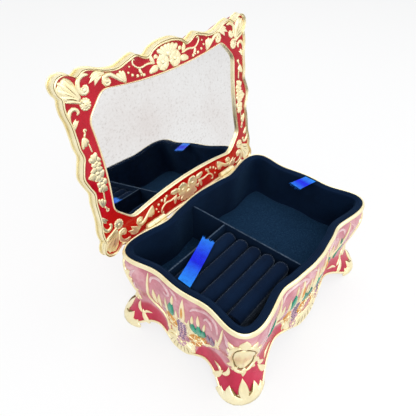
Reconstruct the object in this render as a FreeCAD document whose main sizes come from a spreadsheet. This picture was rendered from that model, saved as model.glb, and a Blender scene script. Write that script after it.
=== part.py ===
import FreeCAD, Part
import math
import os
from FreeCAD import Placement, Rotation, Vector

# Jewellery case in millimetres: floor at z = 0, hinge side at +Y, rest pose with the lid open.
SIZES = [
    ("rim_height", 79.0), ("inner_length", 174.6), ("inner_depth", 118.0),
    ("rim_width", 2.5), ("rim_band", 3.3), ("rim_overhang", 1.2), ("wall", 2.8),
    ("base_level", 20.2), ("base_ledge", 3.5), ("base_thickness", 1.6), ("lining", 2.0),
    ("foot_gap_long", 152.0), ("foot_gap_short", 102.0), ("arch_long", 17.2), ("arch_short", 13.7),
    ("apron_drop", 6.2),
    ("flange", 3.8), ("flange_gap", 0.3), ("tray_inset", 4.0), ("tray_wall", 1.6), ("tray_bottom", 38.2),
    ("divider_x", -12.5), ("divider_thickness", 1.5), ("divider_drop", 2.8),
    ("partition_gap", 2.4), ("partition_drop", 3.3), ("pad_thickness", 2.4), ("pad_gap", 0.5),
    ("roll_width", 11.8), ("roll_pitch", 12.2), ("roll_front_gap", 7.5), ("roll_drop", 4.3),
    ("roll_end_gap", 6.2), ("roll_tip_gap", 0.7),
    ("ribbon_width", 11.0), ("ribbon_thickness", 0.5), ("ribbon_long", 46.0), ("ribbon_short", 19.5),
    ("lid_length", 190.0), ("lid_depth", 135.0), ("lid_hinge_reach", 3.0), ("lid_gap", 1.5), ("frame_thickness", 6.8),
    ("field_drop", 2.4), ("border_width", 3.6),
    ("lip_out", 0.8), ("lip_height", 1.0), ("dome_rise", 12.0), ("lid_wall", 2.4),
    ("mirror_length", 154.0), ("mirror_depth", 101.8), ("mirror_recess", 3.8), ("mirror_thickness", 2.0),
    ("mirror_lap", 3.0), ("mirror_gap", 0.2),
    ("open_angle", 98.2), ("hinge_x", 47.0), ("hinge_y", 62.3), ("hinge_drop", 2.9), ("hinge_width", 18.0),
    ("knuckle_radius", 2.6), ("pin_radius", 1.2), ("pin_fit", 0.05), ("knuckle_gap", 0.3),
    ("leaf_thickness", 1.5), ("leaf_y", 57.8), ("lid_leaf_y", 66.8), ("leaf_length", 9.0),
    ("origin_y", 17.547), ("screw_radius", 0.9), ("screw_head", 1.7), ("screw_fit", 0.05), ("screw_length", 3.0),
]

doc = FreeCAD.newDocument("jewellery_case")
sheet = doc.addObject("Spreadsheet::Sheet", "dims")
for row, (alias, number) in enumerate(SIZES, 1):
    sheet.set(f"A{row}", alias)
    sheet.set(f"B{row}", str(number))
    sheet.setAlias(f"B{row}", alias)
doc.recompute()
size = {alias: float(sheet.get(alias)) for alias, number in SIZES}

# Radius of the serpentine rim against the angle round the box: one plus these cosine terms.
RIM_WAVE = {2: 0.2482, 4: -0.0681, 6: -0.103, 8: -0.0113, 10: 0.0419, 12: 0.0242, 14: -0.0054, 16: -0.0072}
RIM_STEPS = 72
# Wall profile: height over the rim height, then how far out of the inner rim edge at the sides and corners.
WALL_PROFILE = [(0.787, 2.4, 2.2), (0.610, 1.8, -0.8), (0.458, -0.2, -4.6), (0.332, -0.2, -3.8),
                (0.180, 1.2, 1.4), (0.082, 2.0, 6.4), (0.030, 1.8, 8.6), (0.0, 0.5, 5.5)]
# One quarter of the lid outline, from the middle of the long edge to the middle of the short edge.
LID_QUARTER = [(0, 67.5), (8, 66.9), (15, 64.8), (21, 61.2), (25, 62.2), (31, 65.0), (39, 63.4), (48, 61.0),
               (58, 62.2), (67, 65.4), (74, 66.4), (80, 64.0), (83.6, 66.6), (88.6, 68.4), (93.2, 67.0), (95.8, 62.8),
               (94.8, 57.6), (92.2, 53.8), (92.6, 49.6), (91.8, 44.6), (90.6, 37.5), (90.6, 28), (91, 20), (91.6, 14),
               (93.6, 7), (95, 0)]

wall_top = size["rim_height"] - size["rim_band"]
hinge_z = size["rim_height"] - size["hinge_drop"]
face_z = size["rim_height"] + size["lid_gap"]


def rim_points(side, corner, height):
    """Serpentine outline at one height, moved along its normal by side, and by corner at the corners."""
    span_x = sum(RIM_WAVE.values()) + 1
    span_y = sum(term * math.cos(n * math.pi / 2) for n, term in RIM_WAVE.items()) + 1
    scale_x = size["inner_length"] / 2 / span_x
    scale_y = size["inner_depth"] / 2 / span_y
    points = []
    for step in range(RIM_STEPS):
        angle = 2 * math.pi * step / RIM_STEPS
        radius = 1 + sum(term * math.cos(n * angle) for n, term in RIM_WAVE.items())
        slope = -sum(n * term * math.sin(n * angle) for n, term in RIM_WAVE.items())
        x = scale_x * radius * math.cos(angle)
        y = scale_y * radius * math.sin(angle)
        dx = scale_x * (slope * math.cos(angle) - radius * math.sin(angle))
        dy = scale_y * (slope * math.sin(angle) + radius * math.cos(angle))
        near = min(1.0, abs(x * y) / (0.225 * size["inner_length"] * size["inner_depth"])) ** 3
        out = (side + (corner - side) * near) / math.hypot(dx, dy)
        points.append(Vector(x + dy * out, y - dx * out, height))
    return points


def lid_points(grow, scale, height):
    """Scalloped lid outline of the closed lid, moved along its normal by grow and scaled about its middle."""
    half_x = size["lid_length"] / 2 / LID_QUARTER[-1][0]
    front_y = size["lid_depth"] / 2 / LID_QUARTER[0][1]
    back_y = (size["lid_depth"] / 2 + size["lid_hinge_reach"]) / LID_QUARTER[0][1]
    right_back = [(u * half_x, w * back_y) for u, w in LID_QUARTER]
    right_front = [(u * half_x, -w * front_y) for u, w in reversed(LID_QUARTER[:-1])]
    left_front = [(-u * half_x, -w * front_y) for u, w in LID_QUARTER[1:]]
    left_back = [(-u * half_x, w * back_y) for u, w in reversed(LID_QUARTER[1:-1])]
    ring = right_back + right_front + left_front + left_back
    points = []
    for index, (u, w) in enumerate(ring):
        before = ring[index - 1]
        after = ring[(index + 1) % len(ring)]
        du, dw = after[0] - before[0], after[1] - before[1]
        out = grow / math.hypot(du, dw)
        points.append(Vector((u - dw * out) * scale, (w + du * out) * scale, height))
    return points


def ring_curve(name, points):
    """Closed smooth curve through the points."""
    spline = Part.BSplineCurve()
    spline.interpolate(points, PeriodicFlag=True)
    obj = doc.addObject("Part::Feature", name)
    obj.Shape = Part.Wire(spline.toShape())
    return obj


def loft(name, rings):
    """Solid through closed outlines from top to bottom."""
    obj = doc.addObject("Part::Loft", name)
    obj.Sections = [ring_curve(f"{name}_ring_{index}", points) for index, points in enumerate(rings)]
    obj.Solid = True
    return obj


def prism(name, base, direction, formula):
    """Solid of one closed outline carried along a direction by a sheet formula."""
    obj = doc.addObject("Part::Extrusion", name)
    obj.Base = base
    obj.DirMode = "Custom"
    obj.Dir = direction
    obj.Solid = True
    obj.setExpression("LengthFwd", formula)
    return obj


def box(name, corner, lengths):
    """Block with its low corner and its three lengths as sheet formulas."""
    obj = doc.addObject("Part::Box", name)
    for axis, formula in zip("xyz", corner):
        obj.setExpression(f"Placement.Base.{axis}", formula)
    for side, formula in zip(("Length", "Width", "Height"), lengths):
        obj.setExpression(side, formula)
    return obj


def rod(name, start, turn, radius, length):
    """Round bar from a start point, turned from +Z by the given rotation."""
    obj = doc.addObject("Part::Cylinder", name)
    obj.Placement = Placement(Vector(), turn)
    for axis, formula in zip("xyz", start):
        obj.setExpression(f"Placement.Base.{axis}", formula)
    obj.setExpression("Radius", radius)
    obj.setExpression("Height", length)
    return obj


def join(name, pieces):
    obj = doc.addObject("Part::MultiFuse", name)
    obj.Shapes = pieces
    return obj


def cut(name, base, tool):
    obj = doc.addObject("Part::Cut", name)
    obj.Base = base
    obj.Tool = tool
    return obj


def gather(name, pieces):
    obj = doc.addObject("Part::Compound", name)
    obj.Links = pieces
    return obj


def solid_feature(name, shape, placement=Placement()):
    obj = doc.addObject("Part::Feature", name)
    obj.Shape = shape
    obj.Placement = placement
    return obj


FIRST_ROLL = "(dims.tray_inset + dims.tray_wall + dims.roll_front_gap + dims.roll_width / 2 - dims.inner_depth / 2)"
PARTITION = f"({FIRST_ROLL} + 4 * dims.roll_pitch + dims.roll_width / 2 + dims.partition_gap)"
TO_X = Rotation(Vector(0, 1, 0), 90)
TO_Y = Rotation(Vector(1, 0, 0), -90)
nodes = []


def node(name, obj, placement=None):
    """Keeps a finished sub-part under the name of its STEP file."""
    obj.Label = name
    if placement is not None:
        obj.Placement = placement
    nodes.append(obj)
    return obj


hinge_axis = Vector(0, size["hinge_y"], hinge_z)
lid_open = Placement(Vector(), Rotation(Vector(1, 0, 0), -size["open_angle"]), hinge_axis)
SIDES = (("left", -1), ("right", 1))


# Body casting: bulging wall, scalloped apron and four cabriole feet.
top_out = size["rim_width"] - size["rim_overhang"]
profile = [(share * size["rim_height"], side, corner) for share, side, corner in WALL_PROFILE]
outer = loft("body_outer", [rim_points(top_out, top_out, wall_top)]
             + [rim_points(side, corner, height) for height, side, corner in profile])
upper = [rim_points(top_out - size["wall"], top_out - size["wall"], wall_top)]
upper += [rim_points(side - size["wall"], corner - size["wall"], height) for height, side, corner in profile[:3]]
waist_side, waist_corner = (offset - size["wall"] for offset in profile[2][1:])
upper += [rim_points(waist_side, waist_corner, size["base_level"])]
store = loft("body_store", upper)
under_side, under_corner = waist_side - size["base_ledge"], waist_corner - size["base_ledge"]
lower = [rim_points(under_side, under_corner, size["base_level"])]
lower += [rim_points(side - size["wall"], corner - size["wall"], height) for height, side, corner in profile[4:]]
hollow = loft("body_hollow", lower)


def apron_cut(name, gap, arch, along, through):
    """Opening under one pair of walls: arch beside each foot, drop in the middle, as one smooth curve."""
    drop = size["apron_drop"]
    rise = arch - drop
    shares = [(0.0, drop), (0.14, drop + 0.12 * rise), (0.29, drop + 0.62 * rise), (0.46, arch), (0.59, 0.93 * arch),
              (0.69, 0.77 * arch), (0.79, 0.54 * arch), (0.89, 0.29 * arch), (1.0, 0.0), (1.04, -0.11 * arch)]
    shares = [(-share, height) for share, height in reversed(shares[1:])] + shares
    line = [along * (share * gap / 2) + Vector(0, 0, height) for share, height in shares]
    spline = Part.BSplineCurve()
    spline.interpolate(line)
    wire = Part.Wire([spline.toShape(), Part.LineSegment(line[-1], line[0]).toShape()])
    tool = prism(name, solid_feature(f"{name}_outline", wire), through, "dims.inner_length * 2")
    tool.Symmetric = True
    return tool


ALONG_X, ALONG_Y = Vector(1, 0, 0), Vector(0, 1, 0)
apron_long = apron_cut("apron_long", size["foot_gap_long"], size["arch_long"], ALONG_X, ALONG_Y)
apron_short = apron_cut("apron_short", size["foot_gap_short"], size["arch_short"], ALONG_Y, ALONG_X)
bosses = []
seats = []
screw_holes = []
for side, sign in SIDES:
    bosses.append(box(f"boss_{side}",
                      (f"{sign} * dims.hinge_x - dims.hinge_width / 2 - 1", "dims.leaf_y - 7.8",
                       "dims.rim_height - dims.hinge_drop - dims.leaf_length - 2"),
                      ("dims.hinge_width + 2", "7.8", "dims.hinge_drop + dims.leaf_length + 2 - dims.rim_band")))
    seats.append(box(f"seat_{side}",
                     (f"{sign} * dims.hinge_x - dims.hinge_width / 2 - 1.2", "dims.leaf_y",
                      "dims.rim_height - dims.hinge_drop - dims.leaf_length - 2"),
                     ("dims.hinge_width + 2.4", "20", "dims.leaf_length + dims.knuckle_radius + 2.3")))
    for place, across in (("in", -1), ("out", 1)):
        screw_holes.append(rod(f"boss_hole_{side}_{place}",
                               (f"{sign} * dims.hinge_x + {across} * dims.hinge_width / 3.2", "dims.leaf_y - dims.screw_length",
                                "dims.rim_height - dims.hinge_drop - dims.leaf_length / 2 - 2"),
                               TO_Y, "dims.screw_radius + dims.screw_fit", "dims.screw_length + 1"))
casting = cut("casting", join("casting_full", [outer] + bosses),
              join("casting_voids", [store, hollow, apron_long, apron_short]))
hinge_seats = join("hinge_seats", seats)
node("body_shell", cut("body_shell", casting, join("boss_holes", screw_holes + seats)))

# Gilt rim on top of the wall; its inner edge is the serpentine outline itself.
rim_outer = prism("rim_outer", ring_curve("rim_outer_ring", rim_points(size["rim_width"], size["rim_width"], wall_top)),
                  Vector(0, 0, 1), "dims.rim_band")
rim_inner = prism("rim_inner", ring_curve("rim_inner_ring", rim_points(0, 0, wall_top)), Vector(0, 0, 1), "dims.rim_band")
node("rim_ring", cut("rim_ring", rim_outer, join("rim_voids", [rim_inner, hinge_seats])))

# Base plate on the inner ledge, with its velvet lining.
fit = size["flange_gap"]
base_ring = ring_curve("base_ring", rim_points(waist_side - fit, waist_corner - fit, size["base_level"]))
node("base_plate", prism("base_plate", base_ring, Vector(0, 0, 1), "dims.base_thickness"))
lining_ring = ring_curve("lining_ring", rim_points(waist_side - 1, waist_corner - 1,
                                                   size["base_level"] + size["base_thickness"]))
node("store_lining", prism("store_lining", lining_ring, Vector(0, 0, 1), "dims.lining"))

# Lift-out velvet tray: flange on the wall top inside the rim, walls drawn in at the corners.
inset, skin = size["tray_inset"], size["tray_wall"]
flange_top = wall_top + size["flange"]
tray_floor = size["tray_bottom"] + skin
tray_middle = (wall_top + size["tray_bottom"]) / 2
flange_plate = prism("flange_plate", ring_curve("flange_ring", rim_points(-size["flange_gap"], -size["flange_gap"], wall_top)),
                     Vector(0, 0, 1), "dims.flange")
tray_outer = loft("tray_outer", [rim_points(-inset, -inset, flange_top), rim_points(-inset, -inset - 0.8, tray_middle),
                                 rim_points(-inset, -inset - 4.2, size["tray_bottom"])])
tray_inner = loft("tray_inner", [rim_points(-inset - skin, -inset - skin, flange_top + 1),
                                 rim_points(-inset - skin, -inset - skin - 0.8, tray_middle),
                                 rim_points(-inset - skin, -inset - skin - 4.2, tray_floor)])
node("tray_shell", cut("tray_shell", join("tray_full", [flange_plate, tray_outer]), tray_inner))

# Thin partitions stand on the tray floor, trimmed to the tray wall with a small gap.
room = loft("tray_room", [rim_points(-inset - skin - 0.3, -inset - skin - 0.3, flange_top + 1),
                          rim_points(-inset - skin - 0.3, -inset - skin - 1.1, tray_middle),
                          rim_points(-inset - skin - 0.3, -inset - skin - 4.5, tray_floor)])


def fit_in_room(name, block):
    obj = doc.addObject("Part::Common", name)
    obj.Base = block
    obj.Tool = room
    return obj


divider_block = box("divider_block", ("dims.divider_x - dims.divider_thickness / 2", "-dims.inner_depth / 2",
                                      "dims.tray_bottom + dims.tray_wall"),
                    ("dims.divider_thickness", "dims.inner_depth",
                     "dims.rim_height - dims.divider_drop - dims.tray_bottom - dims.tray_wall"))
node("tray_divider", fit_in_room("tray_divider", divider_block))
partition_block = box("partition_block", ("-dims.inner_length / 2", PARTITION,
                                          "dims.tray_bottom + dims.tray_wall"),
                      ("dims.inner_length / 2 + dims.divider_x - dims.divider_thickness / 2", "dims.divider_thickness",
                       "dims.rim_height - dims.partition_drop - dims.tray_bottom - dims.tray_wall"))
node("ring_partition", fit_in_room("ring_partition", partition_block))

# Ring rolls: upright pads with a round top and a round right end, side by side from the front.
for index in range(5):
    name = f"ring_roll_{index + 1}"
    middle = f"({FIRST_ROLL} + {index} * dims.roll_pitch)"
    half = "dims.roll_width / 2"
    bottom = "dims.tray_bottom + dims.tray_wall"
    shoulder = f"dims.rim_height - dims.roll_drop - {half}"
    left = "(dims.tray_inset + dims.tray_wall + dims.roll_end_gap - dims.inner_length / 2)"
    left = f"({left} + dims.roll_end_gap)" if index == 0 else left
    right = f"(dims.divider_x - dims.divider_thickness / 2 - dims.roll_tip_gap - {half})"
    block = box(f"{name}_block", (left, f"{middle} - {half}", bottom),
                (f"{right} - {left}", "dims.roll_width", f"{shoulder} - ({bottom})"))
    crown = rod(f"{name}_crown", (left, middle, shoulder), TO_X, half, f"{right} - {left}")
    post = rod(f"{name}_post", (right, middle, bottom), Rotation(), half, f"{shoulder} - ({bottom})")
    tip = doc.addObject("Part::Sphere", f"{name}_tip")
    tip.setExpression("Radius", half)
    for axis, formula in zip("xyz", (right, middle, shoulder)):
        tip.setExpression(f"Placement.Base.{axis}", formula)
    roll = join(name, [block, crown, post, tip])
    roll.Refine = True
    node(name, roll)

# Velvet pads on the floors of the open compartments.
pad_room = loft("pad_room", [rim_points(-inset - skin - 1.0, -inset - skin - 4.6, tray_floor + size["pad_thickness"]),
                             rim_points(-inset - skin - 1.0, -inset - skin - 5.0, tray_floor)])
right_block = box("right_block", ("dims.divider_x + dims.divider_thickness / 2 + dims.pad_gap", "-dims.inner_depth / 2",
                                  "dims.tray_bottom + dims.tray_wall"),
                  ("dims.inner_length", "dims.inner_depth", "dims.pad_thickness"))
back_block = box("back_block", ("-dims.inner_length / 2", f"{PARTITION} + dims.divider_thickness + dims.pad_gap",
                                "dims.tray_bottom + dims.tray_wall"),
                 ("dims.inner_length / 2 + dims.divider_x - dims.divider_thickness / 2 - dims.pad_gap",
                  "dims.inner_depth", "dims.pad_thickness"))
for name, block in (("floor_pad_right", right_block), ("floor_pad_back", back_block)):
    pad = doc.addObject("Part::Common", name)
    pad.Base = block
    pad.Tool = pad_room
    node(name, pad)


def ribbon(name, path, placement):
    """Ribbon strip: an arc through three points of the path, with its thickness above it, over its width."""
    up = Vector(0, 0, size["ribbon_thickness"])
    low = [Vector(along, -size["ribbon_width"] / 2, height) for along, height in path]
    high = [point + up for point in low]
    edges = [Part.Arc(*low).toShape(), Part.LineSegment(low[2], high[2]).toShape(),
             Part.Arc(*reversed(high)).toShape(), Part.LineSegment(high[0], low[0]).toShape()]
    strip = Part.Face(Part.Wire(edges)).extrude(Vector(0, size["ribbon_width"], 0))
    node(name, solid_feature(name, strip, placement))


half_length = size["inner_length"] / 2
roll_top = size["rim_height"] - size["roll_drop"]
reach = size["ribbon_long"]
ribbon("ribbon_left", [(0, 3.3), (0.5 * reach, 0.55), (reach, 2.3)],
       Placement(Vector(-half_length + inset + skin + 2.4, 1.4, roll_top), Rotation(Vector(0, 0, 1), 17.5)))
tab = size["ribbon_short"]
ribbon("ribbon_right", [(0, 0.15), (0.5 * tab, 0.3), (tab, 0.1)],
       Placement(Vector(half_length - size["flange_gap"] - 3.2, -7.3, flange_top), Rotation(Vector(0, 0, 1), 165)))

# Lid, modelled closed and then turned back on the hinge.
back_z = face_z + size["frame_thickness"]


def opening(grow, height):
    """Mirror opening: four sides bowed inwards and four straight corner cuts."""
    a = size["mirror_length"] / 2 + grow
    b = size["mirror_depth"] / 2 + grow
    cut_a = 0.8 * size["mirror_length"] / 2 + 0.41 * grow
    cut_b = 0.69 * size["mirror_depth"] / 2 + 0.41 * grow
    bow_a = 0.967 * size["mirror_length"] / 2 + grow
    bow_b = 0.885 * size["mirror_depth"] / 2 + grow
    corner = [Vector(x, y, height) for x, y in ((a, -cut_b), (a, cut_b), (cut_a, b), (-cut_a, b),
                                                (-a, cut_b), (-a, -cut_b), (-cut_a, -b), (cut_a, -b))]
    middle = [Vector(bow_a, 0, height), None, Vector(0, bow_b, height), None,
              Vector(-bow_a, 0, height), None, Vector(0, -bow_b, height), None]
    edges = []
    for index, bowed in enumerate(middle):
        start, end = corner[index], corner[(index + 1) % 8]
        line = Part.LineSegment(start, end) if bowed is None else Part.Arc(start, bowed, end)
        edges.append(line.toShape())
    return Part.Wire(edges)


frame_plate = prism("frame_plate", ring_curve("frame_ring", lid_points(0, 1, face_z)), Vector(0, 0, 1), "dims.frame_thickness")
frame_hole = prism("frame_hole", solid_feature("frame_hole_ring", opening(0, face_z - 1)), Vector(0, 0, 1),
                   "dims.frame_thickness + 2")
rabbet_ring = solid_feature("rabbet_ring", opening(size["mirror_lap"], face_z + size["mirror_recess"]))
rabbet = prism("rabbet", rabbet_ring, Vector(0, 0, 1), "dims.frame_thickness")
field_cut = prism("field_cut", ring_curve("field_ring", lid_points(-size["border_width"], 1, face_z - 0.5)), Vector(0, 0, 1),
                  "dims.field_drop + 0.5")
node("mirror_frame", cut("mirror_frame", frame_plate, join("frame_voids", [frame_hole, rabbet, field_cut])), lid_open)
glass_ring = solid_feature("glass_ring", opening(size["mirror_lap"] - size["mirror_gap"], face_z + size["mirror_recess"]))
node("mirror_glass", prism("mirror_glass", glass_ring, Vector(0, 0, 1), "dims.mirror_thickness"), lid_open)
card_ring = solid_feature("card_ring", opening(size["mirror_lap"] - size["mirror_gap"],
                                               face_z + size["mirror_recess"] + size["mirror_thickness"]))
node("mirror_backing", prism("mirror_backing", card_ring, Vector(0, 0, 1),
                             "dims.frame_thickness - dims.mirror_recess - dims.mirror_thickness"), lid_open)

lip_top = back_z + size["lip_height"]
rise = size["dome_rise"]
lip = prism("lip", ring_curve("lip_ring", lid_points(size["lip_out"], 1, back_z)), Vector(0, 0, 1), "dims.lip_height")
dome = loft("dome", [lid_points(0, scale, lip_top + share * rise - 0.5)
                     for scale, share in ((0.99, 0.0), (0.955, 0.45), (0.87, 0.83), (0.72, 1.0))])
thin = size["lid_wall"]
cavity = loft("cavity", [lid_points(0, scale, height) for scale, height in (
    (0.925, back_z - 0.5), (0.91, lip_top + 0.35 * rise - thin), (0.84, lip_top + 0.8 * rise - thin),
    (0.7, lip_top + rise - thin - 0.5))])
lid_bosses = []
lid_seats = []
lid_holes = []
for side, sign in SIDES:
    lid_bosses.append(box(f"lid_boss_{side}",
                          (f"{sign} * dims.hinge_x - dims.hinge_width / 2", "dims.lid_leaf_y - 6",
                           "dims.rim_height + dims.lid_gap + dims.frame_thickness"),
                          ("dims.hinge_width", "6", "dims.leaf_length - 1")))
    lid_seats.append(box(f"lid_seat_{side}",
                         (f"{sign} * dims.hinge_x - dims.hinge_width / 2 - 0.2", "dims.lid_leaf_y",
                          "dims.rim_height + dims.lid_gap"),
                         ("dims.hinge_width + 0.4", "20", "dims.frame_thickness + dims.leaf_length - 1")))
    for place, across in (("in", -1), ("out", 1)):
        lid_holes.append(rod(f"lid_hole_{side}_{place}",
                             (f"{sign} * dims.hinge_x + {across} * dims.hinge_width / 3.2",
                              "dims.lid_leaf_y - dims.screw_length",
                              "dims.rim_height + dims.lid_gap + dims.frame_thickness + dims.leaf_length / 2 - 0.5"),
                             TO_Y, "dims.screw_radius + dims.screw_fit", "dims.screw_length + 1"))
lid_full = cut("lid_full", join("lid_cover", [lip, dome] + lid_bosses), cavity)
node("lid_shell", cut("lid_shell", lid_full, join("lid_holes", lid_holes + lid_seats)), lid_open)

# Two small hinges: body leaf with two knuckles, lid leaf with one, headed pin, four screws each.
third = "dims.hinge_width / 3"
bore = "dims.pin_radius + dims.pin_fit"
axis_z = "dims.rim_height - dims.hinge_drop"
body_screws = []
lid_screws = []
for side, sign in SIDES:
    mid = f"{sign} * dims.hinge_x"
    start = f"{mid} - dims.hinge_width / 2"
    plate = box(f"body_plate_{side}", (start, "dims.leaf_y", f"{axis_z} - dims.leaf_length"),
                ("dims.hinge_width", "dims.leaf_thickness", "dims.leaf_length"))
    pieces = [plate]
    for place, shift in (("a", "0"), ("b", f"2 * {third} + dims.knuckle_gap / 2")):
        width = f"{third} - dims.knuckle_gap / 2"
        pieces.append(box(f"body_arm_{side}_{place}", (f"{start} + {shift}", "dims.leaf_y", f"{axis_z} - dims.knuckle_radius"),
                          (width, "dims.hinge_y - dims.leaf_y", "dims.knuckle_radius")))
        pieces.append(rod(f"body_knuckle_{side}_{place}", (f"{start} + {shift}", "dims.hinge_y", axis_z), TO_X,
                          "dims.knuckle_radius", width))
    holes = [rod(f"body_bore_{side}", (f"{start} - 1", "dims.hinge_y", axis_z), TO_X, bore, "dims.hinge_width + 2")]
    for place, across in (("in", -1), ("out", 1)):
        spot = (f"{mid} + {across} * dims.hinge_width / 3.2", "dims.leaf_y - 1",
                f"{axis_z} - dims.leaf_length / 2 - 2")
        holes.append(rod(f"body_leaf_hole_{side}_{place}", spot, TO_Y, "dims.screw_radius + dims.screw_fit",
                         "dims.leaf_thickness + 2"))
        shank = rod(f"body_shank_{side}_{place}", (spot[0], "dims.leaf_y - dims.screw_length + 0.3", spot[2]), TO_Y,
                    "dims.screw_radius", "dims.screw_length + dims.leaf_thickness")
        head = rod(f"body_head_{side}_{place}", (spot[0], "dims.leaf_y + dims.leaf_thickness", spot[2]), TO_Y,
                   "dims.screw_head", "0.9")
        body_screws.append(join(f"body_screw_{side}_{place}", [shank, head]))
    node(f"hinge_leaf_body_{side}", cut(f"hinge_leaf_body_{side}", join(f"body_leaf_{side}", pieces),
                                        join(f"body_leaf_holes_{side}", holes)))

    lid_start = f"{mid} - {third} / 2 + dims.knuckle_gap / 2"
    lid_width = f"{third} - dims.knuckle_gap"
    top = "dims.rim_height + dims.lid_gap + dims.frame_thickness"
    lid_pieces = [
        rod(f"lid_knuckle_{side}", (lid_start, "dims.hinge_y", axis_z), TO_X, "dims.knuckle_radius", lid_width),
        box(f"lid_web_{side}", (lid_start, "dims.hinge_y", axis_z),
            (lid_width, "dims.lid_leaf_y + dims.leaf_thickness - dims.hinge_y", "dims.knuckle_radius")),
        box(f"lid_strap_{side}", (lid_start, "dims.lid_leaf_y", axis_z),
            (lid_width, "dims.leaf_thickness", f"{top} + dims.leaf_length - 2 - ({axis_z})")),
        box(f"lid_plate_{side}", (start, "dims.lid_leaf_y", f"{top} + 0.5"),
            ("dims.hinge_width", "dims.leaf_thickness", "dims.leaf_length - 2.5"))]
    lid_bores = [rod(f"lid_bore_{side}", (f"{start} - 1", "dims.hinge_y", axis_z), TO_X, bore, "dims.hinge_width + 2")]
    for place, across in (("in", -1), ("out", 1)):
        spot = (f"{mid} + {across} * dims.hinge_width / 3.2", "dims.lid_leaf_y - 1", f"{top} + dims.leaf_length / 2 - 0.5")
        lid_bores.append(rod(f"lid_leaf_hole_{side}_{place}", spot, TO_Y, "dims.screw_radius + dims.screw_fit",
                             "dims.leaf_thickness + 2"))
        shank = rod(f"lid_shank_{side}_{place}", (spot[0], "dims.lid_leaf_y - dims.screw_length + 0.3", spot[2]), TO_Y,
                    "dims.screw_radius", "dims.screw_length + dims.leaf_thickness")
        head = rod(f"lid_head_{side}_{place}", (spot[0], "dims.lid_leaf_y + dims.leaf_thickness", spot[2]), TO_Y,
                   "dims.screw_head", "0.9")
        lid_screws.append(join(f"lid_screw_{side}_{place}", [shank, head]))
    node(f"hinge_leaf_lid_{side}", cut(f"hinge_leaf_lid_{side}", join(f"lid_leaf_{side}", lid_pieces),
                                       join(f"lid_leaf_holes_{side}", lid_bores)), lid_open)

    pin = rod(f"pin_{side}", (f"{start} - 0.8", "dims.hinge_y", axis_z), TO_X, "dims.pin_radius", "dims.hinge_width + 1.6")
    heads = [rod(f"pin_head_{side}_{place}", (f"{start} + {shift}", "dims.hinge_y", axis_z), TO_X, "dims.pin_radius + 0.8", "0.8")
             for place, shift in (("a", "-0.8"), ("b", "dims.hinge_width"))]
    node(f"hinge_pin_{side}", join(f"hinge_pin_{side}", [pin] + heads))
node("hinge_screws_body", gather("hinge_screws_body", body_screws))
node("hinge_screws_lid", gather("hinge_screws_lid", lid_screws), lid_open)

# The row frame has its origin under the middle of the open case, so every sub-part moves forward together.
doc.recompute()
for obj in nodes:
    obj.Placement = Placement(Vector(0, -size["origin_y"], 0), Rotation()).multiply(obj.Placement)
doc.recompute()
os.makedirs("parts", exist_ok=True)
for obj in nodes:
    if "Invalid" in obj.State or "Error" in obj.State or obj.Shape.isNull() or not obj.Shape.isValid():
        raise RuntimeError(f"{obj.Label} did not build")
    obj.Shape.exportStep(f"parts/{obj.Label}.step")
    print(f"{obj.Label}: {obj.Shape.Volume / 1000:.2f} cm3, {len(obj.Shape.Solids)} solids")
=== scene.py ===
# %% [markdown]
# # A gilt and enamelled jewellery case
# The case is a cast metal box on four curved feet, with a velvet tray inside and a mirror in its open lid.
# The solids from the CAD step give every size. This lesson lays the finishes over them: smooth castings,
# raised gilt ornament, enamel, velvet, ribbon and a silvered mirror.

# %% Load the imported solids
import bmesh
import bpy
import numpy as np
from mathutils import Matrix


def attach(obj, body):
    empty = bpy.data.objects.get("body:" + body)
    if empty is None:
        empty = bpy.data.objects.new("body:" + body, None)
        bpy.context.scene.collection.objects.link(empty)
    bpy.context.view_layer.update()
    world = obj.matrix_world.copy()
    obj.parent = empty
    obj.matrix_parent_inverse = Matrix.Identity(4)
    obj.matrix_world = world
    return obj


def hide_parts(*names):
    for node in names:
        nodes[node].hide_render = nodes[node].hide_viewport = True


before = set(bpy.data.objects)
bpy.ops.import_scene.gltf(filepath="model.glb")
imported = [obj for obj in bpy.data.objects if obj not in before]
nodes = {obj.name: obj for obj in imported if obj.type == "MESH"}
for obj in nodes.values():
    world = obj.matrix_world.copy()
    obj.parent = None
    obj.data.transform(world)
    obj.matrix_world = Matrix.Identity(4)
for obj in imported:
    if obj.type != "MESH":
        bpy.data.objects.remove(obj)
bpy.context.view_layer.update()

# %% [markdown]
# ## One frame for all pieces
# Sizes are easiest to read in millimetres from the middle of the box, so every shape is worked out there. A
# last step moves it into the row frame, whose origin lies a little further back, and turns it into metres.
# The lid is worked out closed and then swung back about its hinge line by the angle in the photograph.

# %% From millimetres to the row frame
FRAME_Y = 17.547
RIM_Z, WALL_TOP, FACE_Z, TRAY_FLOOR = 79.0, 75.7, 80.5, 39.8
HINGE_Y, HINGE_Z, OPEN_ANGLE = 62.3, 76.1, np.radians(-98.2)


def to_row(points):
    """Millimetres from the middle of the box to metres in the row frame."""
    return (points - np.array([0.0, FRAME_Y, 0.0])) / 1000.0


def swing_open(points):
    """Points of the closed lid turned about the hinge line: a plane rotation of y and z by the open
    angle."""
    y, z = points[..., 1] - HINGE_Y, points[..., 2] - HINGE_Z
    c, s = np.cos(OPEN_ANGLE), np.sin(OPEN_ANGLE)
    return np.stack([points[..., 0], HINGE_Y + y * c - z * s, HINGE_Z + y * s + z * c], -1)


print("row frame starts", FRAME_Y, "mm behind the middle of the box")

# %% Meshes from grids of points
SHEET, SKIN, TUBE = (False, False), (False, True), (True, True)


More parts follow.
